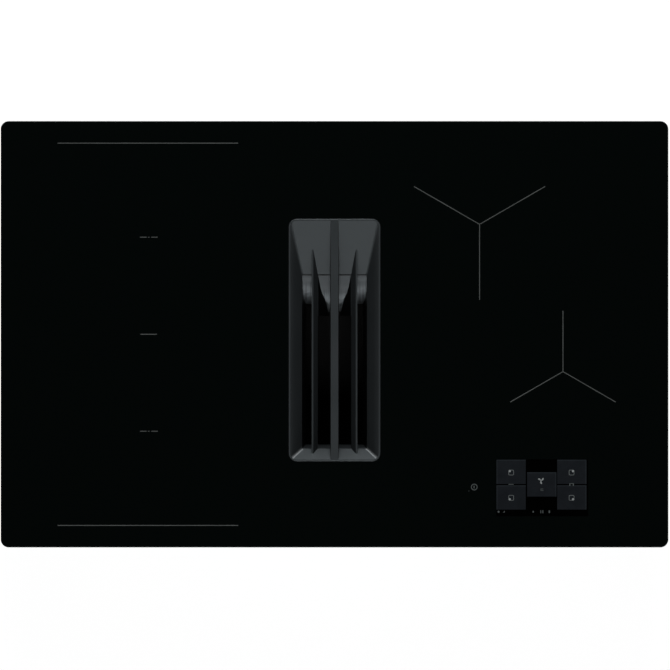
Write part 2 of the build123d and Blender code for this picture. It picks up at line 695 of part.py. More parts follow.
def grille():
    """Drop-in grille: rim, funnel with a long rear ramp, centre rib and two leaning blades."""
    body = round_block(GRILLE_WIDTH, GRILLE_DEPTH, GRILLE_CORNER, GRILLE_BOTTOM, GRILLE_TOP, y=WELL_Y)
    body = fillet(body.faces().sort_by(Axis.Z)[-1].edges(), RIM_ROUND)
    funnel = funnel_form()
    funnel = fillet(funnel.edges().filter_by(is_mitre), FUNNEL_ROUND)
    inside = round_block(2 * FUNNEL_HALF, FUNNEL_Y_REAR - FUNNEL_Y_FRONT, GRILLE_CORNER - RIM_LIP,
                         GRILLE_BOTTOM - OVERCUT, GRILLE_TOP + OVERCUT, y=WELL_Y)
    relief = round_block(GRILLE_WIDTH - 2 * GRILLE_SKIRT, GRILLE_DEPTH - 2 * GRILLE_SKIRT,
                         GRILLE_CORNER - GRILLE_SKIRT, GRILLE_BOTTOM - OVERCUT,
                         GRILLE_TOP - GRILLE_SKIN, y=WELL_Y)
    relief -= funnel_form(GRILLE_SKIN, INSERT_WALL)
    rib_top, rib_foot = RIB_WIDTH / 2, RIB_WIDTH / 2 + RIB_DRAFT
    rib = xz_prism([(-rib_foot, THROAT_Z), (rib_foot, THROAT_Z), (rib_top, GRILLE_TOP),
                    (-rib_top, GRILLE_TOP)], FUNNEL_Y_FRONT - RIM_LIP / 2, FUNNEL_Y_REAR + RIM_LIP / 2)
    rib = fillet(rib.edges().filter_by(Axis.Y).sort_by(Axis.Z)[-2:], RIM_ROUND)
    body = body - (funnel & inside) - relief
    return body + rib + grille_blade(-1) + grille_blade(1)


def grille_pads():
    """Six rubber pads between the grille's skirt and the filter casing."""
    side = GRILLE_WIDTH / 2 - GRILLE_SKIRT / 2
    pads = []
    for x in (-side, side):
        for y in spread(WELL_Y - GRILLE_DEPTH / 3, WELL_Y + GRILLE_DEPTH / 3, 3):
            pad = round_block(PAD_WIDTH, PAD_LENGTH, PAD_CORNER, CASING_TOP, GRILLE_BOTTOM, x, y)
            pads.append(pad.solid())
    return Compound(pads)


# ---------------------------------------------------------------- what stands in the well

def skirt_form(grow):
    """Tapered inside of the casing's throat, or its outside when grown by the wall."""
    low = CASING_TOP - SKIRT_DROP
    wide = THROAT_HALF + grow
    narrow = wide - SKIRT_TAPER
    front = THROAT_FRONT - grow
    rear = THROAT_REAR - SCOOP_GAP + grow
    across = [(-wide, CASING_TOP), (wide, CASING_TOP), (narrow, low), (-narrow, low)]
    along = [(front, CASING_TOP), (rear, CASING_TOP), (rear, low), (front + SKIRT_TAPER, low)]
    return xz_prism(across, front, rear) & yz_prism(along, -wide, wide)


def scoop_axis(setback):
    """Centre of the scoop's roll, as (y, z), for lanes that start to roll this much further back."""
    return SCOOP_FRONT + setback + SCOOP_ROLL, SCOOP_AXIS_Z + setback * math.tan(FUNNEL_SLOPE)


def on_roll(setback, inset, turn):
    """Point (y, z) on the scoop's roll, inset from its face, where the face has tipped this far forward."""
    axis_y, axis_z = scoop_axis(setback)
    reach = SCOOP_ROLL - inset
    return axis_y - reach * math.sin(turn), axis_z + reach * math.cos(turn)


def scoop_lanes(setback, half, inset):
    """Deflector of some lanes: it carries on the grille's ramp, rolls forward and ends upright."""
    start = on_roll(setback, inset, FUNNEL_SLOPE)
    middle = on_roll(setback, inset, (FUNNEL_SLOPE + math.pi / 2) / 2)
    end = on_roll(setback, inset, math.pi / 2)
    back = SCOOP_BACK - inset
    top = (back, start[1] + (back - start[0]) * math.tan(FUNNEL_SLOPE))
    low = SCOOP_LOW - inset
    edges = [Line(top, start), ThreePointArc(start, middle, end), Line(end, (end[0], low)),
             Line((end[0], low), (back, low)), Line((back, low), top)]
    outline = Plane.YZ.offset(-half + inset) * make_face(edges)
    return extrude(outline, 2 * (half - inset), dir=(1, 0, 0))


def scoop_form(inset):
    """Whole deflector: the two outer lanes roll down first and the middle lanes further forward."""
    outer = scoop_lanes(SCOOP_STEP, THROAT_HALF - SCOOP_GAP, inset)
    return outer + scoop_lanes(0, SCOOP_SPLIT, inset)


def scoop_vane(side):
    """Guide vane under one blade of the grille: it leans as the blade does and stands on the scoop."""
    lean = BLADE_LEAN / (GRILLE_TOP - BLADE_DROP - THROAT_Z)
    low = SCOOP_LEVEL - VANE_DROP
    high_x = BLADE_X - BLADE_LEAN - lean * SCOOP_GAP
    low_x = high_x - lean * VANE_DROP
    half = BLADE_THICK / 2
    across = [(high_x - half, SCOOP_LEVEL), (high_x + half, SCOOP_LEVEL), (low_x + half, low),
              (low_x - half, low)]
    root = SCOOP_WALL / 2
    front = SCOOP_FRONT - VANE_REACH
    along = [(SCOOP_BACK, SCOOP_LEVEL), (SCOOP_BACK, SCOOP_LEVEL - root),
             on_roll(0, root, FUNNEL_SLOPE), on_roll(0, root, math.radians(VANE_TURN)),
             (front, low), (front, SCOOP_LEVEL)]
    leaning = xz_prism([(side * x, z) for x, z in across], front, SCOOP_BACK)
    return leaning & yz_prism(along, -THROAT_HALF, THROAT_HALF)


def filter_levels():
    """Lowest and highest level of the grease filter."""
    low = SPILL_TOP + FILTER_LIFT
    return low, low + FILTER_HEIGHT


def filter_ends():
    """Front and rear end of the grease filter."""
    return WELL_Y - FILTER_LENGTH / 2, WELL_Y + FILTER_LENGTH / 2


def filter_casing():
    """Casing under the grille: deck with the throat and the scoop, walls, window and filter rails."""
    walls = round_ring(INSERT_WIDTH, INSERT_DEPTH, INSERT_CORNER, INSERT_WALL,
                       SPILL_TOP, CASING_TOP, y=WELL_Y)
    deck = round_block(INSERT_WIDTH, INSERT_DEPTH, INSERT_CORNER,
                       CASING_TOP - INSERT_WALL, CASING_TOP, y=WELL_Y)
    skirt = skirt_form(INSERT_WALL) - skirt_form(0)
    scoop = scoop_form(0) - scoop_form(SCOOP_WALL)
    lip_edge = INSERT_WALL + LIP_GAP
    lip = round_ring(INSERT_WIDTH - 2 * lip_edge, INSERT_DEPTH - 2 * lip_edge, INSERT_CORNER - lip_edge,
                     LIP_THICK, SPILL_TOP - LIP_DEPTH, SPILL_TOP + LIP_THICK, y=WELL_Y)
    shelf = round_ring(INSERT_WIDTH, INSERT_DEPTH, INSERT_CORNER, lip_edge + LIP_THICK,
                       SPILL_TOP, SPILL_TOP + LIP_THICK, y=WELL_Y)
    low, high = filter_levels()
    inner = INSERT_WIDTH / 2 - INSERT_WALL
    y_low, y_high = filter_ends()
    rails = []
    for z_low, z_high in ((low - RAIL_THICK, low), (high, high + RAIL_THICK)):
        rails.append(box_between((inner - FILTER_THICK, y_low, z_low),
                                 (inner + INSERT_WALL / 2, y_high, z_high)))
    window = box_between((inner - OVERCUT, y_low + FILTER_BORDER, low + FILTER_BORDER),
                         (inner + 2 * INSERT_WALL, y_high - FILTER_BORDER, high - FILTER_BORDER))
    casing = walls + (deck - skirt_form(0)) + skirt + lip + shelf
    return casing + rails - window + scoop + scoop_vane(-1) + scoop_vane(1)


def filter_frame():
    """Folded frame of the grease filter."""
    low, high = filter_levels()
    right = INSERT_WIDTH / 2 - INSERT_WALL
    left = right - FILTER_THICK
    y_low, y_high = filter_ends()
    outer = box_between((left, y_low, low), (right, y_high, high))
    border = FILTER_BORDER
    inner = box_between((left - OVERCUT, y_low + border, low + border),
                        (right + OVERCUT, y_high - border, high - border))
    return outer - inner


def filter_mesh():
    """Perforated layers inside the filter frame, as one sheet with its holes."""
    low, high = filter_levels()
    length = FILTER_LENGTH - 2 * FILTER_BORDER
    height = FILTER_HEIGHT - 2 * FILTER_BORDER
    pitch_y = (length - MESH_BAR) / MESH_COLUMNS
    pitch_z = (height - MESH_BAR) / MESH_ROWS
    hole = Rectangle(pitch_y - MESH_BAR, pitch_z - MESH_BAR)
    holes = [spot * hole for spot in GridLocations(pitch_y, pitch_z, MESH_COLUMNS, MESH_ROWS)]
    sheet = Rectangle(length, height) - holes
    middle = INSERT_WIDTH / 2 - INSERT_WALL - FILTER_THICK / 2
    corner = (middle - MESH_THICK / 2, WELL_Y, (low + high) / 2)
    place = Plane(origin=corner, x_dir=(0, 1, 0), z_dir=(1, 0, 0))
    return extrude(place * sheet, MESH_THICK)


def spill_tray():
    """Tub at the bottom of the well that catches spills and grease."""
    tub = round_block(INSERT_WIDTH, INSERT_DEPTH, INSERT_CORNER, WET_FLOOR, SPILL_TOP, y=WELL_Y)
    tub = fillet(tub.faces().sort_by(Axis.Z)[0].edges(), SPILL_ROUND)
    hollow = round_block(INSERT_WIDTH - 2 * INSERT_WALL, INSERT_DEPTH - 2 * INSERT_WALL,
                         INSERT_CORNER - INSERT_WALL, WET_FLOOR + INSERT_WALL, SPILL_TOP + OVERCUT, y=WELL_Y)
    hollow = fillet(hollow.faces().sort_by(Axis.Z)[0].edges(), SPILL_ROUND - INSERT_WALL)
    return tub - hollow


# ---------------------------------------------------------------- well and air path

def well_collar():
    """Moulded collar bonded under the glass round the cut-out."""
    walls = round_ring(WELL_WIDTH + 2 * DUCT_WALL, WELL_DEPTH + 2 * DUCT_WALL, WELL_CORNER + DUCT_WALL,
                       DUCT_WALL, COLLAR_BOTTOM, BOND_BOTTOM, y=WELL_Y)
    flange = round_ring(WELL_WIDTH + 2 * COLLAR_FLANGE, WELL_DEPTH + 2 * COLLAR_FLANGE,
                        WELL_CORNER + COLLAR_FLANGE, COLLAR_FLANGE,
                        BOND_BOTTOM - DUCT_WALL, BOND_BOTTOM, y=WELL_Y)
    return walls + flange


def duct_seal():
    """Rubber ring between the collar and the suction duct."""
    return round_ring(WELL_WIDTH + 2 * DUCT_FLANGE, WELL_DEPTH + 2 * DUCT_FLANGE, WELL_CORNER + DUCT_FLANGE,
                      DUCT_FLANGE, DUCT_FLANGE_TOP, COLLAR_BOTTOM, y=WELL_Y)


def port_range():
    """Y and Z range of the port between the suction duct and the plenum, as clear sizes."""
    y_low = FAN_Y - PLENUM_HALF + VOLUTE_WALL
    y_high = FAN_Y + PLENUM_HALF - VOLUTE_WALL
    return y_low, y_high, COVER_TOP + VOLUTE_WALL, PLENUM_TOP - VOLUTE_WALL


def suction_duct():
    """Lower part of the well: walls, floor, the flange on the tray and the port to the plenum."""
    width = WELL_WIDTH + 2 * DUCT_WALL
    depth = WELL_DEPTH + 2 * DUCT_WALL
    walls = round_ring(width, depth, WELL_CORNER + DUCT_WALL, DUCT_WALL, FLOOR_Z, DUCT_FLANGE_TOP, y=WELL_Y)
    floor = round_block(width, depth, WELL_CORNER + DUCT_WALL, FLOOR_Z, WET_FLOOR, y=WELL_Y)
    flange = round_ring(WELL_WIDTH + 2 * DUCT_FLANGE, WELL_DEPTH + 2 * DUCT_FLANGE, WELL_CORNER + DUCT_FLANGE,
                        DUCT_FLANGE, TRAY_FLOOR, DUCT_FLANGE_TOP, y=WELL_Y)
    y_low, y_high, z_low, z_high = port_range()
    port = box_between((WELL_WIDTH / 2 - OVERCUT, y_low, z_low), (DUCT_SIDE + OVERCUT, y_high, z_high))
    return walls + floor + flange - port


def plenum_box():
    """Flat box that leads the air from the well to the fan inlet."""
    right = FAN_X + PLENUM_HALF
    outer = box_between((DUCT_SIDE, FAN_Y - PLENUM_HALF, COVER_TOP), (right, FAN_Y + PLENUM_HALF, PLENUM_TOP))
    outer = fillet(outer.edges().filter_by(Axis.Z).sort_by(Axis.X)[-2:], PLENUM_MARGIN)
    y_low, y_high, z_low, z_high = port_range()
    inner = box_between((DUCT_SIDE - OVERCUT, y_low, z_low), (right - VOLUTE_WALL, y_high, z_high))
    inner = fillet(inner.edges().filter_by(Axis.Z).sort_by(Axis.X)[-2:], PLENUM_MARGIN - VOLUTE_WALL)
    hole = drill(INLET_RADIUS + INLET_ROLL, COVER_TOP, z_low, FAN_X, FAN_Y)
    return outer - inner - hole


def volute_outline(inset, tongue, rear):
    """Fan housing outline: three growing arcs, then a flat mouth as wide as the outlet."""
    half = VOLUTE_STEP / 2
    first = (FAN_X - half, FAN_Y - half)
    second = (first[0] + VOLUTE_STEP, first[1])
    third = (second[0], second[1] + VOLUTE_STEP)
    radii = [VOLUTE_RADIUS + i * VOLUTE_STEP - inset for i in range(3)]
    start = 90 - math.degrees(tongue / radii[0])
    arcs = [CenterArc(first, radii[0], start, 180 - start),
            CenterArc(second, radii[1], 180, 90),
            CenterArc(third, radii[2], 270, 90)]
    mouth = OUTLET_HALF - inset
    run = [arcs[2] @ 1, Vector(FAN_X + mouth, rear), Vector(FAN_X - mouth, rear), arcs[0] @ 0]
    lines = [Line(a, b) for a, b in zip(run, run[1:])]
    return make_face([piece.edge() for piece in arcs + lines])


def volute_block(inset, tongue, rear, z_low, z_high):
    """Fan housing outline as a block between two levels."""
    return extrude(Pos(0, 0, z_low) * volute_outline(inset, tongue, rear), z_high - z_low)


def volute_base():
    """Lower shell of the fan housing: floor and scroll wall, open at the top and at the mouth."""
    shell = volute_block(0, 0, OUTLET_Y, FLOOR_Z, VOLUTE_TOP)
    mouth = OUTLET_Y + OVERCUT
    return shell - volute_block(VOLUTE_WALL, TONGUE_THICK, mouth, WET_FLOOR, VOLUTE_TOP + OVERCUT)


def volute_cover():
    """Lid of the fan housing with the hole of the fan inlet."""
    lid = volute_block(0, 0, OUTLET_Y, VOLUTE_TOP, COVER_TOP)
    return lid - drill(INLET_RADIUS + INLET_ROLL, VOLUTE_TOP, COVER_TOP, FAN_X, FAN_Y)


def inlet_ring():
    """Rolled ring that leads the air into the impeller."""
    outer = INLET_RADIUS + INLET_ROLL
    top = COVER_TOP + VOLUTE_WALL
    low = VOLUTE_TOP - INLET_WALL
    points = [(outer, top), (outer, low + INLET_ROLL), (outer - INLET_WALL, low + INLET_ROLL / 2),
              (INLET_RADIUS, low), (INLET_RADIUS - INLET_WALL, low), (INLET_RADIUS, low + INLET_ROLL),
              (outer - 2 * INLET_WALL, top)]
    profile = Plane.XZ * Polygon(*points, align=None)
    return Pos(FAN_X, FAN_Y, 0) * revolve(profile, Axis.Z)


def outlet_spigot():
    """Rectangular spigot for flat duct, with its flange inside the rear wall."""
    def slab(width, height, corner, y_low, y_high):
        place = Plane.XZ.offset(-y_high) * Pos(FAN_X, OUTLET_Z, 0)
        return extrude(place * RectangleRounded(width, height, corner), y_high - y_low)

    tube_end = HOUSING_REAR + SPIGOT_LENGTH
    tube = slab(OUTLET_WIDTH, OUTLET_HEIGHT, SPIGOT_CORNER, OUTLET_Y, tube_end)
    flange = slab(2 * OUTLET_HALF, OUTLET_HEIGHT + 2 * VOLUTE_WALL, SPIGOT_CORNER,
                  OUTLET_Y, OUTLET_Y + SPIGOT_FLANGE)
    bore = slab(OUTLET_WIDTH - 2 * SPIGOT_WALL, OUTLET_HEIGHT - 2 * SPIGOT_WALL, SPIGOT_CORNER - SPIGOT_WALL,
                OUTLET_Y - OVERCUT, tube_end + OVERCUT)
    return tube + flange - bore


# ---------------------------------------------------------------- extractor fan and its motor

def impeller_blade():
    """One forward-curved blade of the impeller, in plan, as a closed face."""
    def at(radius, degrees):
        angle = math.radians(degrees)
        return (radius * math.cos(angle), radius * math.sin(angle))

    middle = (IMPELLER_INNER + IMPELLER_RADIUS) / 2
    turn = math.degrees(FAN_BLADE_THICK / IMPELLER_INNER)
    stops = [(IMPELLER_INNER, 0.0), (middle, BLADE_SKEW * 0.25), (IMPELLER_RADIUS, BLADE_SKEW)]
    near = [at(r, a) for r, a in stops]
    far = [at(r, a + turn) for r, a in stops]
    edges = [ThreePointArc(*near), Line(near[2], far[2]),
             ThreePointArc(*reversed(far)), Line(far[0], near[0])]
    return make_face([piece.edge() for piece in edges])


def fan_impeller():
    """Radial impeller: back ring, hat over the motor, curved blades and front ring."""
    ring = upright_tube(IMPELLER_RADIUS, HAT_RADIUS - HAT_WALL, IMPELLER_LOW, IMPELLER_LOW + IMPELLER_PLATE)
    hat = upright_tube(HAT_RADIUS, HAT_RADIUS - HAT_WALL, IMPELLER_LOW, HAT_TOP)
    crown = upright_tube(HAT_RADIUS, SHAFT_RADIUS, HAT_TOP - HAT_WALL, HAT_TOP)
    boss = upright_tube(2.5 * SHAFT_RADIUS, SHAFT_RADIUS, HAT_TOP, HAT_TOP + 2 * HAT_WALL)
    front = upright_tube(IMPELLER_RADIUS, (IMPELLER_INNER + IMPELLER_RADIUS) / 2,
                         IMPELLER_HIGH - IMPELLER_PLATE, IMPELLER_HIGH)
    blade = extrude(Pos(0, 0, IMPELLER_LOW) * impeller_blade(), IMPELLER_HIGH - IMPELLER_LOW)
    blades = [Rot(0, 0, 360 * i / BLADE_COUNT) * blade for i in range(BLADE_COUNT)]
    return Pos(FAN_X, FAN_Y, 0) * (ring + hat + crown + boss + front + blades)


def bearing_levels():
    """Lowest level of each of the two bearings in the mount tube."""
    return MOUNT_TOP + BEARING_SEAT, MOUNT_TUBE_TOP - BEARING_WIDTH


def fan_shaft():
    """Shaft of the extractor fan, from the lower bearing to the impeller's boss."""
    return upright_cylinder(SHAFT_RADIUS, MOUNT_TOP + SHAFT_END_GAP, HAT_TOP + 2 * HAT_WALL, FAN_X, FAN_Y)


def motor_rotor():
    """Bell of the external-rotor motor, fixed on the shaft under the impeller's hat."""
    bell = upright_tube(ROTOR_RADIUS, ROTOR_RADIUS - ROTOR_WALL, ROTOR_LOW, ROTOR_TOP, FAN_X, FAN_Y)
    return bell + upright_tube(ROTOR_RADIUS - ROTOR_WALL, SHAFT_RADIUS, ROTOR_TOP - ROTOR_WALL, ROTOR_TOP,
                               FAN_X, FAN_Y)


def motor_stator():
    """Slotted stator core with its windings, on the mount tube."""
    middle = (ROTOR_LOW + ROTOR_TOP - ROTOR_WALL) / 2
    low = middle - STATOR_HEIGHT / 2
    core = upright_tube(STATOR_RADIUS, MOUNT_TUBE_RADIUS, low, low + STATOR_HEIGHT, FAN_X, FAN_Y)
    slot = Pos(STATOR_RADIUS, 0, middle) * Box(STATOR_RADIUS / 2, STATOR_SLOT, 2 * STATOR_HEIGHT)
    slots = [Pos(FAN_X, FAN_Y, 0) * Rot(0, 0, 360 * i / STATOR_SLOTS) * slot for i in range(STATOR_SLOTS)]
    return core - slots


def motor_bearings():
    """Two ball bearings in the mount tube, as closed rings."""
    rings = [upright_tube(BEARING_RADIUS, SHAFT_RADIUS + SHAFT_CLEARANCE, z, z + BEARING_WIDTH, FAN_X, FAN_Y)
             for z in bearing_levels()]
    return Compound([ring.solid() for ring in rings])


def motor_mount():
    """Plate and bearing tube that carry the motor on the floor of the fan housing."""
    plate = upright_cylinder(MOUNT_PLATE_RADIUS, WET_FLOOR, MOUNT_TOP, FAN_X, FAN_Y)
    tube = upright_tube(MOUNT_TUBE_RADIUS, BEARING_RADIUS, MOUNT_TOP, MOUNT_TUBE_TOP, FAN_X, FAN_Y)
    return plate + tube


def small_board(low, high, z, parts):
    """Circuit board on four feet with block-shaped parts given as (x, y, width, depth, height)."""
    board = box_between((*low, z + BOARD_RISE), (*high, z + BOARD_RISE + BOARD_THICK))
    for x in (low[0] + SUPPORT_INSET, high[0] - SUPPORT_INSET):
        for y in (low[1] + SUPPORT_INSET, high[1] - SUPPORT_INSET):
            board += upright_cylinder(SUPPORT_RADIUS, z, z + BOARD_RISE, x, y)
    top = z + BOARD_RISE + BOARD_THICK
    for x, y, width, depth, height in parts:
        board += box_between((x - width / 2, y - depth / 2, top),
                             (x + width / 2, y + depth / 2, top + height))
    return board


def motor_board():
    """Control board of the fan motor, in the front bay of the lower housing."""
    volute_front = FAN_Y - VOLUTE_RADIUS - 3 * VOLUTE_STEP / 2
    low = (FAN_X - MOTOR_BOARD_WIDTH / 2, HOUSING_FRONT + MOTOR_BOARD_EDGE)
    high = (FAN_X + MOTOR_BOARD_WIDTH / 2, volute_front - MOTOR_BOARD_GAP)
    y = (low[1] + high[1]) / 2
    parts = [(FAN_X + x, y, *size) for x, *size in MOTOR_BOARD_PARTS]
    return small_board(low, high, FLOOR_Z, parts)


# ---------------------------------------------------------------- lower housing

def housing_block(inset, z_low, z_high):
    """Outline of the lower housing as a block, inset from its outer faces."""
    corner = max(HOUSING_CORNER - inset, 0.5)
    return round_block(HOUSING_WIDTH - 2 * inset, HOUSING_DEPTH - 2 * inset, corner,
                       z_low, z_high, HOUSING_X, HOUSING_Y)


def lower_housing():
    """Sheet-steel box under the tray, with vents and the opening for the outlet spigot."""
    walls = housing_block(0, FLOOR_Z, TRAY_BOTTOM)
    walls -= housing_block(HOUSING_SHEET, FLOOR_Z - OVERCUT, TRAY_BOTTOM + OVERCUT)
    flange = housing_block(0, TRAY_BOTTOM - HOUSING_SHEET, TRAY_BOTTOM)
    flange -= housing_block(HOUSING_FLANGE, TRAY_BOTTOM - 2 * HOUSING_SHEET, TRAY_BOTTOM + OVERCUT)
    half_width = OUTLET_WIDTH / 2 + SPIGOT_GAP
    half_height = OUTLET_HEIGHT / 2 + SPIGOT_GAP
    mouth = box_between((FAN_X - half_width, HOUSING_REAR - 3 * HOUSING_SHEET, OUTLET_Z - half_height),
                        (FAN_X + half_width, HOUSING_REAR + OVERCUT, OUTLET_Z + half_height))
    vents = []
    middle = (FLOOR_Z + TRAY_BOTTOM) / 2
    half_row = (VENT_COUNT - 1) * VENT_PITCH / 2
    low, high = middle - VENT_LENGTH, middle + VENT_LENGTH
    inside = HOUSING_LEFT + 2 * HOUSING_SHEET
    for y in spread(HOUSING_Y - half_row, HOUSING_Y + half_row, VENT_COUNT):
        vents.append(box_between((HOUSING_LEFT - OVERCUT, y - VENT_SLOT / 2, low),
                                 (inside, y + VENT_SLOT / 2, high)))
    inside = HOUSING_FRONT + 2 * HOUSING_SHEET
    for x in spread(FAN_X - half_row, FAN_X + half_row, VENT_COUNT):
        vents.append(box_between((x - VENT_SLOT / 2, HOUSING_FRONT - OVERCUT, low),
                                 (x + VENT_SLOT / 2, inside, high)))
    return walls + flange - mouth - vents - screw_holes()


def base_plate():
    """Bottom sheet with a turned-up edge inside the housing walls and vents under the motor board."""
    sheet = housing_block(0, BASE_Z, FLOOR_Z)
    edge = housing_block(HOUSING_SHEET, FLOOR_Z, FLOOR_Z + BASE_FLANGE)
    edge -= housing_block(2 * HOUSING_SHEET, FLOOR_Z - OVERCUT, FLOOR_Z + BASE_FLANGE + OVERCUT)
    clear = HOUSING_SIDE_GAP + HOUSING_SHEET
    edge -= box_between((FAN_X - OUTLET_HALF - clear, HOUSING_REAR - BASE_NOTCH, FLOOR_Z),
                        (HOUSING_RIGHT, HOUSING_REAR, FLOOR_Z + BASE_FLANGE + OVERCUT))
    edge -= box_between((HOUSING_RIGHT - 2 * clear, FAN_Y - VOLUTE_RADIUS, FLOOR_Z),
                        (HOUSING_RIGHT, HOUSING_REAR, FLOOR_Z + BASE_FLANGE + OVERCUT))
    vents = []
    y = HOUSING_FRONT + BASE_VENT_GAP + VENT_LENGTH / 2
    half_row = (VENT_COUNT - 1) * VENT_PITCH / 2
    for x in spread(FAN_X - half_row, FAN_X + half_row, VENT_COUNT):
        vents.append(box_between((x - VENT_SLOT / 2, y - VENT_LENGTH / 2, BASE_Z - OVERCUT),
                                 (x + VENT_SLOT / 2, y + VENT_LENGTH / 2, FLOOR_Z + OVERCUT)))
    return sheet + edge - vents - screw_holes()


# ---------------------------------------------------------------- induction coils

def zone_sketch(zone, grow):
    """Outline of a zone's winding in plan, grown outwards."""
    outline = RectangleRounded(zone.width + 2 * grow, zone.depth + 2 * grow, zone.corner + grow)
    return Pos(zone.x, zone.y, 0) * outline


def zone_block(zone, grow, z_low, z_high):
    """Zone outline as a block between two levels."""
    return extrude(Pos(0, 0, z_low) * zone_sketch(zone, grow), z_high - z_low)


def zones_on(side):
    """Zones of the left or the right side of the hob."""
    return [zone for name, zone in ZONES.items() if name.startswith(side)]


def coil(name):
    """Flat winding of one zone, with shallow grooves between its bundles of turns."""
    zone = ZONES[name]
    winding = zone_block(zone, 0, COIL_BOTTOM, MAT_BOTTOM)
    winding -= drill(COIL_HOLE, COIL_BOTTOM, MAT_BOTTOM, zone.x, zone.y)
    reach = min(zone.width, zone.depth) / 2 - COIL_HOLE
    for i in range(1, COIL_GROOVES):
        inset = reach * i / COIL_GROOVES
        if zone.corner - inset <= 2 * COIL_GROOVE:
            break
        ring = zone_sketch(zone, -inset) - zone_sketch(zone, -inset - COIL_GROOVE)
        winding -= extrude(Pos(0, 0, MAT_BOTTOM - COIL_GROOVE) * ring, COIL_GROOVE)
    return winding


def coil_carriers(side):
    """Moulded discs that hold the windings of one side, each with a rim on the coil plate."""
    discs = []
    for zone in zones_on(side):
        disc = zone_block(zone, CARRIER_EDGE, CARRIER_BOTTOM, COIL_BOTTOM)
        rim = zone_block(zone, CARRIER_EDGE, COIL_PLATE_TOP, CARRIER_BOTTOM)
        rim -= zone_block(zone, CARRIER_EDGE - CARRIER_RIM,
                          COIL_PLATE_TOP - OVERCUT, CARRIER_BOTTOM + OVERCUT)
        disc += rim
        disc -= drill(SENSOR_RADIUS / 2, CARRIER_BOTTOM, COIL_BOTTOM, zone.x, zone.y)
        discs.append(disc.solid())
    return Compound(discs)


def ferrite_bars():
    """Radial ferrite bars under the carriers of all zones."""
    bars = []
    for zone in ZONES.values():
        outer = min(zone.width, zone.depth) / 2 - CARRIER_RIM
        inner = max(COIL_HOLE, FERRITE_BARS * FERRITE_WIDTH / (2 * math.pi) + FERRITE_WIDTH)
        bar = Pos((inner + outer) / 2, 0, CARRIER_BOTTOM - FERRITE_THICK / 2)
        bar *= Box(outer - inner, FERRITE_WIDTH, FERRITE_THICK)
        for i in range(FERRITE_BARS):
            bars.append((Pos(zone.x, zone.y, 0) * Rot(0, 0, 360 * i / FERRITE_BARS) * bar).solid())
    return Compound(bars)


def insulation_mats():
    """Ceramic fibre mats between the windings and the glass."""
    mats = []
    for zone in ZONES.values():
        mat = zone_block(zone, 0, MAT_BOTTOM, GLASS_BOTTOM)
        mat -= drill(SENSOR_RADIUS + SENSOR_GAP, MAT_BOTTOM, GLASS_BOTTOM, zone.x, zone.y)
        mats.append(mat.solid())
    return Compound(mats)


def temperature_sensors():
    """Sensor pucks in the middle of the zones, pressed to the glass."""
    return Compound([upright_cylinder(SENSOR_RADIUS, COIL_BOTTOM, GLASS_BOTTOM, z.x, z.y).solid()
                     for z in ZONES.values()])


def plate_range(side):
    """Lowest and highest x and y of the coil plate of one side."""
    zones = zones_on(side)
    edge = COIL_PLATE_EDGE
    x_low = min(z.x - z.width / 2 for z in zones) - edge
    x_high = max(z.x + z.width / 2 for z in zones) + edge
    y_low = min(z.y - z.depth / 2 for z in zones) - edge
    y_high = max(z.y + z.depth / 2 for z in zones)
    limit_x = TRAY_WIDTH / 2 - TRAY_FLANGE
    limit_y = TRAY_DEPTH / 2 - 2 * TRAY_SHEET
    y_low = max(y_low, -limit_y)
    y_high = min(y_high + edge, limit_y)
    clear = WELL_WIDTH / 2 + COLLAR_FLANGE + COIL_PLATE_GAP
    if side == "left":
        return max(x_low, -limit_x), min(x_high, -clear), y_low, y_high
    return max(x_low, clear), min(x_high, limit_x), y_low, y_high


def post_spots(side):
    """Places of the four spring posts under one coil plate."""
    x_low, x_high, y_low, y_high = plate_range(side)
    return [(x, y) for x in (x_low + POST_INSET, x_high - POST_INSET)
            for y in (y_low + POST_INSET, y_high - POST_INSET)]


def coil_plate(side):
    """Aluminium plate that carries and screens the coils of one side."""
    x_low, x_high, y_low, y_high = plate_range(side)
    plate = box_between((x_low, y_low, COIL_PLATE_BOTTOM), (x_high, y_high, COIL_PLATE_TOP))
    plate = fillet(plate.edges().filter_by(Axis.Z), POST_RADIUS)
    for zone in zones_on(side):
        plate -= drill(COIL_HOLE / 2, COIL_PLATE_BOTTOM, COIL_PLATE_TOP, zone.x, zone.y)
    return plate


def spring_posts():
    """Moulded posts on the tray floor, each with a pin inside its spring."""
    posts = []
    for side in BAYS:
        for x, y in post_spots(side):
            post = upright_cylinder(POST_RADIUS, TRAY_FLOOR, POST_TOP, x, y)
            post += upright_cylinder(POST_PIN, POST_TOP, COIL_PLATE_BOTTOM - POST_PIN_GAP, x, y)
            posts.append(post.solid())
    return Compound(posts)


def coil_springs():
    """Springs that press the coil plates up, each as a closed sleeve of its coils' size."""
    sleeves = []
    for side in BAYS:
        for x, y in post_spots(side):
            sleeve = upright_tube(SPRING_RADIUS, SPRING_RADIUS - SPRING_WIRE,
                                  POST_TOP, COIL_PLATE_BOTTOM, x, y)
            sleeves.append(sleeve.solid())
    return Compound(sleeves)


# ---------------------------------------------------------------- electronics in the tray

def inverter_board(side):
    """Power board of one side."""
    bay = BAYS[side]
    return box_between((*bay.board_low, BOARD_BOTTOM), (*bay.board_high, BOARD_TOP))


def board_supports():
    """Standoffs under both power boards."""
    posts = []
    for bay in BAYS.values():
        for x in (bay.board_low[0] + SUPPORT_INSET, bay.board_high[0] - SUPPORT_INSET):
            for y in (bay.board_low[1] + SUPPORT_INSET, bay.board_high[1] - SUPPORT_INSET):
                posts.append(upright_cylinder(SUPPORT_RADIUS, TRAY_FLOOR, BOARD_BOTTOM, x, y).solid())
    return Compound(posts)


def board_centre(side):
    """Middle of a power board in plan."""
    bay = BAYS[side]
    return (bay.board_low[0] + bay.board_high[0]) / 2, (bay.board_low[1] + bay.board_high[1]) / 2


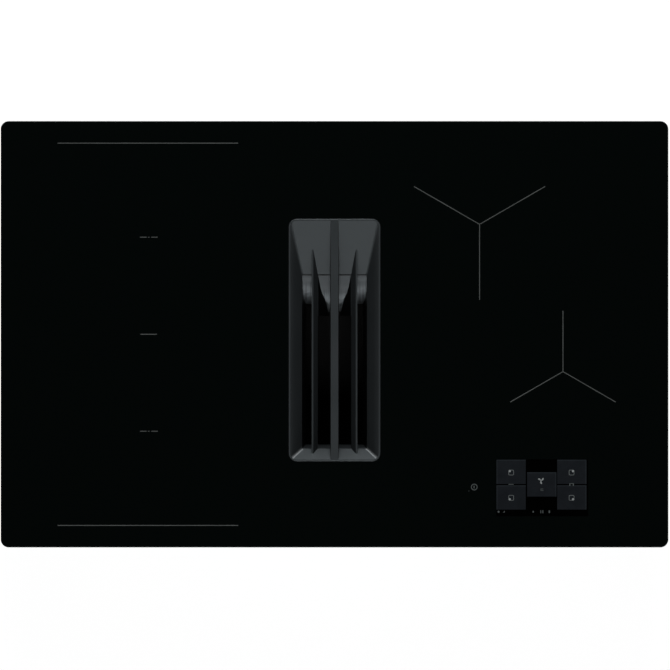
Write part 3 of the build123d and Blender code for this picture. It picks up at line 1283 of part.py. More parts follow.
def heatsinks():
    """Two alike finned heatsinks, each along the middle of its power board."""
    sinks = []
    for side in BAYS:
        x, y = board_centre(side)
        low_x, low_y = x - HEATSINK_WIDTH / 2, y - HEATSINK_LENGTH / 2
        high_x, high_y = x + HEATSINK_WIDTH / 2, y + HEATSINK_LENGTH / 2
        sink = box_between((low_x, low_y, BOARD_TOP), (high_x, high_y, BOARD_TOP + HEATSINK_BASE))
        for fin_x in spread(low_x + FIN_THICK / 2, high_x - FIN_THICK / 2, HEATSINK_FINS):
            sink += box_between((fin_x - FIN_THICK / 2, low_y, BOARD_TOP),
                                (fin_x + FIN_THICK / 2, high_y, BOARD_TOP + HEATSINK_HEIGHT))
        sinks.append(sink.solid())
    return Compound(sinks)


def board_parts():
    """Capacitors and chokes on both power boards."""
    pieces = []
    reach = HEATSINK_WIDTH / 2 + PARTS_REACH
    half_x, half_y = CHOKE_WIDTH / 2, CHOKE_DEPTH / 2
    for side in BAYS:
        x, middle = board_centre(side)
        for y in spread(middle - HEATSINK_LENGTH / 2, middle + HEATSINK_LENGTH / 2, PARTS_ROWS):
            top = BOARD_TOP + CAPACITOR_HEIGHT
            pieces.append(upright_cylinder(CAPACITOR_RADIUS, BOARD_TOP, top, x - reach, y).solid())
            choke = box_between((x + reach - half_x, y - half_y, BOARD_TOP),
                                (x + reach + half_x, y + half_y, BOARD_TOP + CHOKE_HEIGHT))
            pieces.append(choke.solid())
    return Compound(pieces)


def cooling_frame(side):
    """Square frame of one electronics fan, with its hub on struts."""
    low = TRAY_FLOOR
    frame = round_block(FAN_SIZE, FAN_SIZE, FAN_CORNER, low, low + FAN_THICK)
    frame -= drill(FAN_BORE, low, low + FAN_THICK)
    strut = Pos((FAN_HUB + FAN_BORE) / 2, 0, low + FAN_PLATE / 2)
    strut *= Box(FAN_BORE - FAN_HUB + FAN_STRUT, FAN_STRUT, FAN_PLATE)
    struts = [Rot(0, 0, 45 + turn) * strut for turn in (0, 90, 180, 270)]
    hub = upright_cylinder(FAN_HUB, low, low + FAN_PLATE)
    hub += upright_cylinder(3 * FAN_SHAFT, low, low + FAN_THICK / 2)
    bore = upright_cylinder(FAN_SHAFT + SHAFT_CLEARANCE, low - OVERCUT, low + FAN_THICK)
    bay = BAYS[side]
    return Pos(bay.fan_x, bay.fan_y, 0) * (frame + struts + hub - bore)


def cooling_rotor(side):
    """Rotor of one electronics fan: cup, pitched blades and shaft."""
    low = TRAY_FLOOR + FAN_PLATE + FAN_LOW_GAP
    high = TRAY_FLOOR + FAN_THICK - FAN_HIGH_GAP
    tip = FAN_BORE - FAN_TIP_GAP
    inside = FAN_HUB - FAN_CUP_WALL
    cup = upright_cylinder(FAN_HUB, low, high)
    cup -= upright_cylinder(inside, low - OVERCUT, high - FAN_CUP_WALL)
    shaft = upright_cylinder(FAN_SHAFT, TRAY_FLOOR + FAN_LOW_GAP, high - FAN_CUP_WALL / 2)
    root = FAN_HUB - FAN_CUP_WALL / 2
    blade = Pos((root + tip) / 2, 0, (low + high) / 2) * Rot(FAN_BLADE_PITCH, 0, 0)
    blade *= Box(tip - inside, FAN_BLADE_CHORD, FAN_BLADE_SHEET)
    blades = [Rot(0, 0, 360 * i / FAN_BLADES) * blade for i in range(FAN_BLADES)]
    swept = (Part() + blades) & upright_tube(tip, root, low, high)
    bay = BAYS[side]
    return Pos(bay.fan_x, bay.fan_y, 0) * (cup + shaft + swept)


# ---------------------------------------------------------------- touch panel

def touch_carrier():
    """Tray glued under the glass that holds the touch board."""
    low = TOUCH_BOARD_BOTTOM - TOUCH_WALL
    width = TOUCH_WIDTH + 2 * TOUCH_WALL
    depth = TOUCH_DEPTH + 2 * TOUCH_WALL
    ring = round_ring(width, depth, TOUCH_CORNER, TOUCH_WALL, low, GLASS_BOTTOM, TOUCH_X, TOUCH_Y)
    floor = round_block(width, depth, TOUCH_CORNER, low, TOUCH_BOARD_BOTTOM, TOUCH_X, TOUCH_Y)
    return ring + floor


def touch_board():
    """Touch board with its display block and the sensor springs that reach the glass."""
    half_x = TOUCH_WIDTH / 2 - TOUCH_GAP
    half_y = TOUCH_DEPTH / 2 - TOUCH_GAP
    board = box_between((TOUCH_X - half_x, TOUCH_Y - half_y, TOUCH_BOARD_BOTTOM),
                        (TOUCH_X + half_x, TOUCH_Y + half_y, TOUCH_BOARD_TOP))
    board += box_between((TOUCH_X - DISPLAY_WIDTH / 2, TOUCH_Y - DISPLAY_DEPTH / 2, TOUCH_BOARD_TOP),
                         (TOUCH_X + DISPLAY_WIDTH / 2, TOUCH_Y + DISPLAY_DEPTH / 2, GLASS_BOTTOM))
    for x in KEY_X:
        for y in KEY_Y:
            board += upright_cylinder(SUPPORT_RADIUS, TOUCH_BOARD_TOP, GLASS_BOTTOM, TOUCH_X + x, TOUCH_Y + y)
    return board


def ribbon_cable():
    """Flat cable from the touch carrier down to the right power board."""
    x = TOUCH_X - TOUCH_WIDTH / 4
    start = TOUCH_BOARD_BOTTOM - TOUCH_WALL
    carrier_rear = TOUCH_Y + TOUCH_DEPTH / 2 + TOUCH_WALL
    plate_front = plate_range("right")[2]
    y = (carrier_rear + plate_front - RIBBON_THICK) / 2
    under = TOUCH_Y + TOUCH_DEPTH / 4
    t = RIBBON_THICK
    end = BOARD_FRONT + RIBBON_LAP
    run = [(under, start), (y + t, start), (y + t, BOARD_TOP + t), (end, BOARD_TOP + t),
           (end, BOARD_TOP), (y, BOARD_TOP), (y, start - t), (under, start - t)]
    return yz_prism(run, x - RIBBON_WIDTH / 2, x + RIBBON_WIDTH / 2)


# ---------------------------------------------------------------- mains connection

def gland_axis_block(radius, y_low, y_high):
    """Cylinder on the gland's axis, which points to the rear."""
    place = Plane(origin=(TERMINAL_X, y_low, GLAND_Z), z_dir=(0, 1, 0))
    return extrude(place * Circle(radius), y_high - y_low)


def terminal_box():
    """Moulded box for the mains terminals under the tray, open at its bottom."""
    outer = round_block(TERMINAL_WIDTH, TERMINAL_DEPTH, TERMINAL_CORNER,
                        TERMINAL_BOTTOM + TERMINAL_WALL, TRAY_BOTTOM, TERMINAL_X, TERMINAL_Y)
    inner = round_block(TERMINAL_WIDTH - 2 * TERMINAL_WALL, TERMINAL_DEPTH - 2 * TERMINAL_WALL,
                        TERMINAL_CORNER - TERMINAL_WALL, TERMINAL_BOTTOM, TRAY_BOTTOM - TERMINAL_WALL,
                        TERMINAL_X, TERMINAL_Y)
    hole = gland_axis_block(GLAND_BORE + GLAND_WALL / 2 + GLAND_CLEARANCE,
                            TERMINAL_REAR - 2 * TERMINAL_WALL, TERMINAL_REAR + OVERCUT)
    return outer - inner - hole


def terminal_cover():
    """Flat lid under the terminal box."""
    return round_block(TERMINAL_WIDTH, TERMINAL_DEPTH, TERMINAL_CORNER, TERMINAL_BOTTOM,
                       TERMINAL_BOTTOM + TERMINAL_WALL, TERMINAL_X, TERMINAL_Y)


def terminal_block():
    """Row of five screw terminals under the box's roof."""
    roof = TRAY_BOTTOM - TERMINAL_WALL
    y = TERMINAL_Y - TERMINAL_DEPTH / 6
    rear = y + CLAMP_DEPTH / 2
    low = roof - CLAMP_HEIGHT
    block = box_between((TERMINAL_X - CLAMP_WIDTH / 2, rear - CLAMP_DEPTH, low),
                        (TERMINAL_X + CLAMP_WIDTH / 2, rear, roof))
    half_row = (CLAMP_POLES - 1) * CLAMP_PITCH / 2
    width, depth, height = CLAMP_MOUTH
    mouth_low = low + CLAMP_MOUTH_RISE
    for x in spread(TERMINAL_X - half_row, TERMINAL_X + half_row, CLAMP_POLES):
        block -= upright_cylinder(CLAMP_SCREW, low - OVERCUT, low + CLAMP_SCREW_DEPTH, x, y)
        block -= box_between((x - width / 2, rear - depth, mouth_low),
                             (x + width / 2, rear + OVERCUT, mouth_low + height))
    return block


def cable_gland():
    """Cable gland in the rear wall of the terminal box, with its clamping nut."""
    inside = TERMINAL_REAR - TERMINAL_WALL - GLAND_INSIDE
    outside = inside + GLAND_LENGTH
    body = gland_axis_block(GLAND_BORE + GLAND_WALL / 2, inside, outside)
    collar = gland_axis_block(GLAND_BORE + GLAND_WALL, TERMINAL_REAR, TERMINAL_REAR + GLAND_COLLAR)
    place = Plane(origin=(TERMINAL_X, outside - GLAND_NUT_LENGTH, GLAND_Z), z_dir=(0, 1, 0))
    nut = extrude(place * RegularPolygon(GLAND_NUT, 6), GLAND_NUT_LENGTH)
    return body + collar + nut - gland_axis_block(GLAND_BORE, inside - OVERCUT, outside + OVERCUT)


def mains_filter_board():
    """Mains filter board in the left bay of the lower housing."""
    low = (HOUSING_LEFT + MAINS_BOARD_SIDE, HOUSING_FRONT + MAINS_BOARD_EDGE)
    high = (-DUCT_SIDE - MAINS_BOARD_GAP, low[1] + MAINS_BOARD_LENGTH)
    x = (low[0] + high[0]) / 2
    parts = [(x, low[1] + y, *size) for y, *size in MAINS_BOARD_PARTS]
    return small_board(low, high, FLOOR_Z, parts)


# ---------------------------------------------------------------- export

def sub_parts():
    """Every sub-part by its node name."""
    parts = {
        "glass_top": glass_top, "rim_seal": rim_seal, "glass_bonding": glass_bonding,
        "tray_frame": tray_frame, "tray_floor": tray_floor,
        "worktop_clips": worktop_clips, "housing_screws": housing_screws, "grille": grille,
        "grille_pads": grille_pads, "filter_casing": filter_casing, "filter_frame": filter_frame,
        "filter_mesh": filter_mesh, "spill_tray": spill_tray, "well_collar": well_collar,
        "duct_seal": duct_seal, "suction_duct": suction_duct, "plenum_box": plenum_box,
        "volute_base": volute_base, "volute_cover": volute_cover, "inlet_ring": inlet_ring,
        "outlet_spigot": outlet_spigot, "fan_impeller": fan_impeller, "fan_shaft": fan_shaft,
        "motor_rotor": motor_rotor, "motor_stator": motor_stator, "motor_bearings": motor_bearings,
        "motor_mount": motor_mount, "motor_board": motor_board, "lower_housing": lower_housing,
        "base_plate": base_plate, "ferrite_bars": ferrite_bars, "insulation_mats": insulation_mats,
        "temperature_sensors": temperature_sensors, "spring_posts": spring_posts,
        "coil_springs": coil_springs, "board_supports": board_supports, "board_parts": board_parts,
        "touch_board": touch_board, "touch_carrier": touch_carrier, "ribbon_cable": ribbon_cable,
        "terminal_box": terminal_box, "terminal_cover": terminal_cover, "terminal_block": terminal_block,
        "cable_gland": cable_gland, "mains_filter_board": mains_filter_board, "heatsinks": heatsinks,
    }
    shapes = {name: make() for name, make in parts.items()}
    for zone in ZONES:
        shapes["coil_" + zone] = coil(zone)
    for side in BAYS:
        shapes["coil_carriers_" + side] = coil_carriers(side)
        shapes["coil_plate_" + side] = coil_plate(side)
        shapes["inverter_board_" + side] = inverter_board(side)
        shapes["cooling_frame_" + side] = cooling_frame(side)
        shapes["cooling_rotor_" + side] = cooling_rotor(side)
    return shapes


def main():
    """Write one STEP file for each sub-part."""
    os.makedirs("parts", exist_ok=True)
    for name, shape in sub_parts().items():
        export_step(shape, f"parts/{name}.step")


main()
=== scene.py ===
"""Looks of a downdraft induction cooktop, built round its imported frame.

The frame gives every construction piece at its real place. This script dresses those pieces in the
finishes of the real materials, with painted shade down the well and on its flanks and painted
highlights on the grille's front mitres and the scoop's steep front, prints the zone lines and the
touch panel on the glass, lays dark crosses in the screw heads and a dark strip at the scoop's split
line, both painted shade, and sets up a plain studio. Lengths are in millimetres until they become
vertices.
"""

import logging
import math
from dataclasses import dataclass, field, replace
from enum import Enum
from typing import Any, Iterable, Sequence

import bmesh
import bpy
from mathutils import Matrix, Vector

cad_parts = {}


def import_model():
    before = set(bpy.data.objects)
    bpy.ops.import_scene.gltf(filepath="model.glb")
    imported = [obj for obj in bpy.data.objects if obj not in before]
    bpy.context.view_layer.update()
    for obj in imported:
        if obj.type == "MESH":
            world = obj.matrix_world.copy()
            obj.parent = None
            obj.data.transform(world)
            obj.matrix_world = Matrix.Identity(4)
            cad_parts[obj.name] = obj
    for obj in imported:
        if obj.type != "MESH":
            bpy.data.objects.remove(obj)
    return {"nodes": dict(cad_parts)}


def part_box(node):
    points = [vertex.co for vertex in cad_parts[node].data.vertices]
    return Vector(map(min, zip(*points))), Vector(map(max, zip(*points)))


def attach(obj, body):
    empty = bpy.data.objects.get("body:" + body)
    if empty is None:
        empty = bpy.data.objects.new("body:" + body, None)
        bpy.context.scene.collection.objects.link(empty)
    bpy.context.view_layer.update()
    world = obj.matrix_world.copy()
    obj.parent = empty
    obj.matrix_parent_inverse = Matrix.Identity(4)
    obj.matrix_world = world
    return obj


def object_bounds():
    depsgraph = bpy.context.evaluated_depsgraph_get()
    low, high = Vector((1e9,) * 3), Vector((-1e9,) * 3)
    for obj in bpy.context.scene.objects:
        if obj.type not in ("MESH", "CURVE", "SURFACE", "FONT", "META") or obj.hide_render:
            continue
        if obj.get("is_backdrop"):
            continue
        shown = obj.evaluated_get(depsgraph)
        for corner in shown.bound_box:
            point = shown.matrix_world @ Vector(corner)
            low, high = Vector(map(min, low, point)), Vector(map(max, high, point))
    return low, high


LOG = logging.getLogger("cooktop")

# One millimetre in metres.
METRES = 0.001

# Part of a pattern's range over which tone and roughness change, and where most of a noise's values lie.
TONE_BAND = (0.3, 0.7)
NOISE_BAND = (0.35, 0.65)

# Sockets of a Mix node: the two numbers it can mix, and the two colours.
NUMBER_A, NUMBER_B, COLOUR_A, COLOUR_B = 2, 3, 6, 7

Point = tuple[float, float]
Colour = tuple[float, float, float, float]

# A small rectangle: its shift across and along, its width and its depth.
Mark = tuple[float, float, float, float]


def linear(colour: str) -> Colour:
    """Turn an sRGB hex colour into linear values.

    Args:
        colour: six hex digits after a hash sign.

    Returns:
        Red, green and blue in linear light, and an alpha of one.
    """
    channels = [int(colour[i:i + 2], 16) / 255 for i in (1, 3, 5)]
    lit = [c / 12.92 if c <= 0.04045 else ((c + 0.055) / 1.055) ** 2.4 for c in channels]
    return (lit[0], lit[1], lit[2], 1.0)


def output(source: Any) -> Any:
    """Turn a node into the first output that it has open, and leave anything else as it is."""
    is_node = isinstance(source, bpy.types.Node)
    return next(end for end in source.outputs if end.enabled) if is_node else source


def add_node(tree: bpy.types.NodeTree, kind: str, inputs: dict[Any, Any] | None = None,
             **settings: Any) -> bpy.types.Node:
    """Add one shader node with its settings, its values and its links.

    Args:
        tree: the node tree that gets the node.
        kind: the node's type name, without the ShaderNode that each one starts with.
        inputs: input name or index, with a value, or with a node or an output socket to link.
        **settings: properties of the node itself.

    Returns:
        The new node.
    """
    node = tree.nodes.new("ShaderNode" + kind)
    for name, value in settings.items():
        setattr(node, name, value)
    for key, value in (inputs or {}).items():
        source = output(value)
        if isinstance(source, bpy.types.NodeSocket):
            tree.links.new(source, node.inputs[key])
        else:
            node.inputs[key].default_value = source
    return node


def set_stops(ramp: bpy.types.Node, stops: Iterable[tuple[float, str]]) -> None:
    """Give a colour ramp its stops.

    Args:
        ramp: the colour ramp node, which starts with two.
        stops: place from 0 to 1 and sRGB hex colour of each stop, two or more.
    """
    elements = ramp.color_ramp.elements
    for i, (place, colour) in enumerate(stops):
        element = elements[i] if i < len(elements) else elements.new(1.0)
        element.position = place
        element.color = linear(colour)


# ---------------------------------------------------------------- finishes


@dataclass(frozen=True)
class Bench:
    """A material in the making: its tree, its main shader and the place on the piece in millimetres."""

    tree: bpy.types.NodeTree
    shader: bpy.types.Node
    spot: bpy.types.NodeSocket

    def link(self, name: str, source: bpy.types.Node) -> None:
        """Link a node to one input of the main shader."""
        self.tree.links.new(output(source), self.shader.inputs[name])

    def linked(self, name: str) -> bpy.types.NodeSocket:
        """Find the socket that is linked to one input of the main shader."""
        return self.shader.inputs[name].links[0].from_socket

    def facing(self) -> bpy.types.Node:
        """Tell which way the surface faces: add its normal, split along the three axes."""
        geometry = add_node(self.tree, "NewGeometry")
        return add_node(self.tree, "SeparateXYZ", {0: geometry.outputs["Normal"]})

    def lines(self, scale: Sequence[float]) -> bpy.types.Node:
        """Add noise that is stretched into lines.

        Args:
            scale: how often the noise changes in a millimetre along x, y and z.

        Returns:
            The noise.
        """
        stretched = add_node(self.tree, "VectorMath", {0: self.spot, 1: scale}, operation="MULTIPLY")
        return add_node(self.tree, "TexNoise", {"Vector": stretched, "Scale": 1.0, "Detail": 2.0})

    def emboss(self, height: bpy.types.Node, depth: float) -> None:
        """Raise the surface by a pattern.

        Args:
            height: the pattern, from 0 to 1.
            depth: height of the pattern in millimetres.
        """
        bump = add_node(self.tree, "Bump", {"Height": height, "Distance": depth * METRES})
        self.link("Normal", bump)


@dataclass(frozen=True)
class Finish:
    """One real surface: what it is made of, its colour and its plain shading values."""

    name: str
    colour: str
    roughness: float
    metallic: float = 0.0
    ior: float = 1.5

    def material(self) -> bpy.types.Material:
        """Make the material, or return it if it is there already.

        Returns:
            The material, with its detail.
        """
        known = bpy.data.materials.get(self.name)
        if known is not None:
            return known
        material = bpy.data.materials.new(self.name)
        material.use_nodes = True
        tree = material.node_tree
        shader = tree.nodes["Principled BSDF"]
        shader.inputs["Base Color"].default_value = linear(self.colour)
        shader.inputs["Roughness"].default_value = self.roughness
        shader.inputs["Metallic"].default_value = self.metallic
        if self.metallic == 0.0:
            shader.inputs["IOR"].default_value = self.ior
        place = add_node(tree, "TexCoord")
        spot = add_node(tree, "VectorMath", {0: place.outputs["Object"], "Scale": 1 / METRES},
                        operation="SCALE")
        self.detail(Bench(tree, shader, output(spot)))
        return material

    def detail(self, bench: Bench) -> None:
        """Add what sets this surface apart; a plain finish adds nothing."""


@dataclass(frozen=True)
class Toned(Finish):
    """Surface with a pattern that goes from a dark to a light tone and changes the gloss with it."""

    dark: str = "#000000"
    light: str = "#000000"
    spread: float = 0.05
    depth: float = 0.02

    def vary(self, bench: Bench, pattern: bpy.types.Node) -> None:
        """Let a pattern set the tone, and the roughness from one end of its spread to the other.

        Args:
            bench: the material in the making.
            pattern: the pattern, from 0 to 1.
        """
        ramp = add_node(bench.tree, "ValToRGB", {0: pattern})
        set_stops(ramp, zip(TONE_BAND, (self.dark, self.light)))
        bench.link("Base Color", ramp)
        rough = add_node(bench.tree, "MapRange", {
            0: pattern, "From Min": TONE_BAND[0], "From Max": TONE_BAND[1],
            "To Min": self.roughness - self.spread, "To Max": self.roughness + self.spread})
        bench.link("Roughness", rough)


@dataclass(frozen=True)
class Grained(Toned):
    """Surface with an even random grain, as a mould texture, a sprayed coat or a foam skin leaves it.

    Most such grains are 0.05 to 0.3 mm wide in life. They are drawn coarser, so that they show.
    """

    grain: float = 1.0
    cloud: float = 40.0
    fine_share: float = 0.35

    def detail(self, bench: Bench) -> None:
        """Add the grain's relief and a slow cloud of tone.

        Args:
            bench: the material in the making.
        """
        fine, slow = (add_node(bench.tree, "TexNoise", {"Vector": bench.spot, "Scale": 1 / size,
                                                        "Detail": detail})
                      for size, detail in ((self.grain, 3.0), (self.cloud, 4.0)))
        both = add_node(bench.tree, "Mix", {0: self.fine_share, NUMBER_A: slow, NUMBER_B: fine})
        self.vary(bench, both)
        bench.emboss(fine, self.depth)


@dataclass(frozen=True)
class PaintedShade(Grained):
    """Surface with painted shade: its tone darkens to a dark one on the flanks and further down the well."""

    # bare: the dark tone of the painted shade, reached on the flanks and deep in the well.
    bare: str = "#000000"
    low: float = -44.0
    high: float = -20.0
    flank: tuple[float, float] = (0.27, 0.55)

    def detail(self, bench: Bench) -> None:
        """Add the grain, and let its tone fall to the painted shade's dark tone on the flanks and further
        down.

        Args:
            bench: the material in the making.
        """
        super().detail(bench)
        tree, full = bench.tree, bench.linked("Base Color")
        axes = add_node(tree, "SeparateXYZ", {0: bench.spot})
        height = add_node(tree, "MapRange",
                          {0: axes.outputs["Z"], "From Min": self.low, "From Max": self.high})
        aside = add_node(tree, "Math", {0: bench.facing().outputs["X"]}, operation="ABSOLUTE")
        level = add_node(tree, "MapRange",
                         {0: aside, "From Min": self.flank[1], "From Max": self.flank[0]})
        share = add_node(tree, "Math", {0: height, 1: level}, operation="MULTIPLY")
        # Painted shade: the tone falls towards the dark one with depth and where the surface faces sideways.
        tone = add_node(tree, "Mix", {0: share, COLOUR_A: linear(self.bare), COLOUR_B: full},
                        data_type="RGBA")
        bench.link("Base Color", tone)


@dataclass(frozen=True)
class PaintedSheen(PaintedShade):
    """Surface with painted shade and a painted sheen: a lighter tone in streaks where it is steep and faces
    forward.

    A streak of the painted sheen is drawn 1.8 mm wide, so that it shows.
    """

    steep: tuple[float, float] = (0.3, 0.62)
    streak: float = 1.8
    run: float = 60.0
    # Tone of the painted sheen.
    painted_sheen: str = "#7b8286"
    sheen: float = 0.5
    least: float = 0.15

    def vary(self, bench: Bench, pattern: bpy.types.Node) -> None:
        """Vary tone and roughness, then lighten what faces forward in streaks, a painted sheen, and widen its
        sheen with a higher roughness.

        Args:
            bench: the material in the making.
            pattern: the pattern, from 0 to 1.
        """
        super().vary(bench, pattern)
        tree, plain, rough = bench.tree, bench.linked("Base Color"), bench.linked("Roughness")
        ahead = add_node(tree, "MapRange", {0: bench.facing().outputs["Y"], "From Min": -self.steep[0],
                                            "From Max": -self.steep[1]})
        lines = bench.lines((1 / self.streak, 1 / self.run, 1 / self.run))
        line = add_node(tree, "MapRange", {0: lines, "From Min": NOISE_BAND[0],
                                           "From Max": NOISE_BAND[1], "To Min": self.least})
        share = add_node(tree, "Math", {0: ahead, 1: line}, operation="MULTIPLY")
        # Painted sheen: a lighter tone in streaks where the surface faces forward.
        tone = add_node(tree, "Mix", {0: share, COLOUR_A: plain, COLOUR_B: linear(self.painted_sheen)},
                        data_type="RGBA")
        wide = add_node(tree, "Mix", {0: ahead, NUMBER_A: rough, NUMBER_B: self.sheen})
        bench.link("Base Color", tone)
        bench.link("Roughness", wide)


@dataclass(frozen=True)
class MitreHighlight(PaintedShade):
    """Sprayed coat with a painted highlight: brighter and more metallic on the rounded mitres at the front of
    the well.
    """

    # Tone of the painted highlight on the mitres.
    bright: str = "#000000"
    mitre: tuple[float, float] = (0.03, 0.16)
    front: float = -120.0
    highlight_metallic: float = 0.95

    def detail(self, bench: Bench) -> None:
        """Add the coat, and a painted highlight, bright and metallic, where a surface faces both inwards and
        to the rear.

        Args:
            bench: the material in the making.
        """
        super().detail(bench)
        tree, coat, facing = bench.tree, bench.linked("Base Color"), bench.facing()
        axes = add_node(tree, "SeparateXYZ", {0: bench.spot})
        aside = add_node(tree, "Math", {0: facing.outputs["X"]}, operation="ABSOLUTE")
        both = add_node(tree, "Math", {0: aside, 1: facing.outputs["Y"]}, operation="MULTIPLY")
        on_mitre = add_node(tree, "MapRange",
                            {0: both, "From Min": self.mitre[0], "From Max": self.mitre[1]})
        in_front = add_node(tree, "Math", {0: axes.outputs["Y"], 1: self.front}, operation="LESS_THAN")
        share = add_node(tree, "Math", {0: on_mitre, 1: in_front}, operation="MULTIPLY")
        # Painted highlight: a brighter, more metallic tone on the front mitres.
        tone = add_node(tree, "Mix", {0: share, COLOUR_A: coat, COLOUR_B: linear(self.bright)},
                        data_type="RGBA")
        bench.link("Base Color", tone)
        metal = add_node(tree, "MapRange", {0: share, "To Min": self.metallic, "To Max": self.highlight_metallic})
        bench.link("Metallic", metal)


@dataclass(frozen=True)
class Drawn(Toned):
    """Metal with fine lines along one direction, as rolling, brushing or an extrusion die leaves them.

    Such lines are about 0.1 mm apart in life and drawn 0.6 mm apart or more, so that they show.
    """

    line: float = 0.6
    length: float = 60.0
    depth: float = 0.004
    along: str = "y"
    spread: float = 0.08

    def detail(self, bench: Bench) -> None:
        """Add the lines: noise that is short across and long along one axis.

        Args:
            bench: the material in the making.
        """
        lines = bench.lines([1 / self.length if axis == self.along else 1 / self.line for axis in "xyz"])
        self.vary(bench, lines)
        bench.emboss(lines, self.depth)


@dataclass(frozen=True)
class Spangled(Toned):
    """Hot-dip zinc on sheet steel: crystals of a few millimetres that each catch the light differently."""

    crystal: float = 9.0
    depth: float = 0.006
    spread: float = 0.1

    def detail(self, bench: Bench) -> None:
        """Add the zinc crystals, each with its own tone and ragged edges.

        Args:
            bench: the material in the making.
        """
        tree = bench.tree
        bend = add_node(tree, "TexNoise", {"Vector": bench.spot, "Scale": 2 / self.crystal})
        shift = add_node(tree, "VectorMath", {0: bend.outputs["Color"], "Scale": self.crystal},
                         operation="SCALE")
        place = add_node(tree, "VectorMath", {0: bench.spot, 1: shift}, operation="ADD")
        cells = add_node(tree, "TexVoronoi", {"Vector": place, "Scale": 1 / self.crystal})
        tone = add_node(tree, "SeparateColor", {0: cells.outputs["Color"]})
        self.vary(bench, tone)
        bench.emboss(tone, self.depth)


@dataclass(frozen=True)
class Wound(Toned):
    """Round winding or turned part: rings of one pitch about an upright axis, glossiest on their crests."""

    centre: Point = (0.0, 0.0)
    pitch: float = 2.4
    depth: float = 0.3
    spread: float = -0.05

    def detail(self, bench: Bench) -> None:
        """Add the rings, worked out from the distance to the axis.

        Args:
            bench: the material in the making.
        """
        tree = bench.tree
        place = add_node(tree, "VectorMath", {0: bench.spot, 1: (*self.centre, 0.0)}, operation="SUBTRACT")
        flat = add_node(tree, "VectorMath", {0: place, 1: (1.0, 1.0, 0.0)}, operation="MULTIPLY")
        radius = add_node(tree, "VectorMath", {0: flat}, operation="LENGTH")
        turns = add_node(tree, "Math", {0: radius, 1: 2 * math.pi / self.pitch}, operation="MULTIPLY")
        wave = add_node(tree, "Math", {0: turns}, operation="SINE")
        ring = add_node(tree, "MapRange", {0: wave, "From Min": -1.0, "From Max": 1.0})
        self.vary(bench, ring)
        bench.emboss(ring, self.depth)


@dataclass(frozen=True)
class GroundGlass(Finish):
    """Fire-polished glass-ceramic plate whose edges are ground.

    The grinding grit is about 0.05 mm in life and drawn at 0.25 mm, so that it shows.
    """

    edge: str = "#000000"
    edge_roughness: float = 0.35
    level_face: tuple[float, float] = (0.98, 0.9)
    grit: float = 0.25
    wave: float = 45.0
    depth: float = 0.004

    def detail(self, bench: Bench) -> None:
        """Add the plate's slow waves and, where the face isn't level, the ground edge.

        Args:
            bench: the material in the making.
        """
        tree = bench.tree
        ground = add_node(tree, "MapRange", {0: bench.facing().outputs["Z"],
                                             "From Min": self.level_face[0],
                                             "From Max": self.level_face[1]})
        grit = add_node(tree, "TexNoise", {"Vector": bench.spot, "Scale": 1 / self.grit, "Detail": 3.0})
        tone = add_node(tree, "Mix", {0: ground, COLOUR_A: linear(self.colour),
                                      COLOUR_B: linear(self.edge)}, data_type="RGBA")
        bench.link("Base Color", tone)
        rough = add_node(tree, "Math", {0: ground, 1: grit}, operation="MULTIPLY")
        # The grit's noise is a half on average, so twice the edge's roughness gives that roughness.
        level = add_node(tree, "MapRange",
                         {0: rough, "To Min": self.roughness, "To Max": 2 * self.edge_roughness})
        bench.link("Roughness", level)
        slow = add_node(tree, "TexNoise", {"Vector": bench.spot, "Scale": 1 / self.wave})
        bench.emboss(slow, self.depth)


@dataclass(frozen=True)
class Etched(Finish):
    """Circuit board: tinned tracks and pads on a grid under a coloured mask."""

    track: str = "#000000"
    pad: str = "#000000"
    pitch: float = 5.08
    width: float = 0.16
    run: float = 3.0
    stagger: float = 0.35
    pad_reach: float = 0.2
    pad_scatter: float = 0.35
    depth: float = 0.03

    def detail(self, bench: Bench) -> None:
        """Add tracks between cells of the grid and round pads in some cells.

        Args:
            bench: the material in the making.
        """
        tree = bench.tree
        flat = add_node(tree, "VectorMath", {0: bench.spot, 1: (1 / self.pitch, 1 / self.pitch, 0.0)},
                        operation="MULTIPLY")
        tracks = add_node(tree, "TexBrick", {"Vector": flat, "Scale": 1.0, "Mortar Size": self.width,
                                             "Brick Width": self.run, "Row Height": 1.0},
                          offset=self.stagger)
        cells = add_node(tree, "TexVoronoi",
                         {"Vector": flat, "Scale": 1.0, "Randomness": self.pad_scatter})
        pads = add_node(tree, "Math", {0: cells.outputs["Distance"], 1: self.pad_reach},
                        operation="LESS_THAN")
        mask = add_node(tree, "Mix", {0: tracks.outputs["Fac"], COLOUR_A: linear(self.colour),
                                      COLOUR_B: linear(self.track)}, data_type="RGBA")
        full = add_node(tree, "Mix", {0: pads, COLOUR_A: mask, COLOUR_B: linear(self.pad)},
                        data_type="RGBA")
        bench.link("Base Color", full)
        bench.link("Metallic", pads)
        height = add_node(tree, "Math", {0: tracks.outputs["Fac"], 1: pads}, operation="MAXIMUM")
        bench.emboss(height, self.depth)


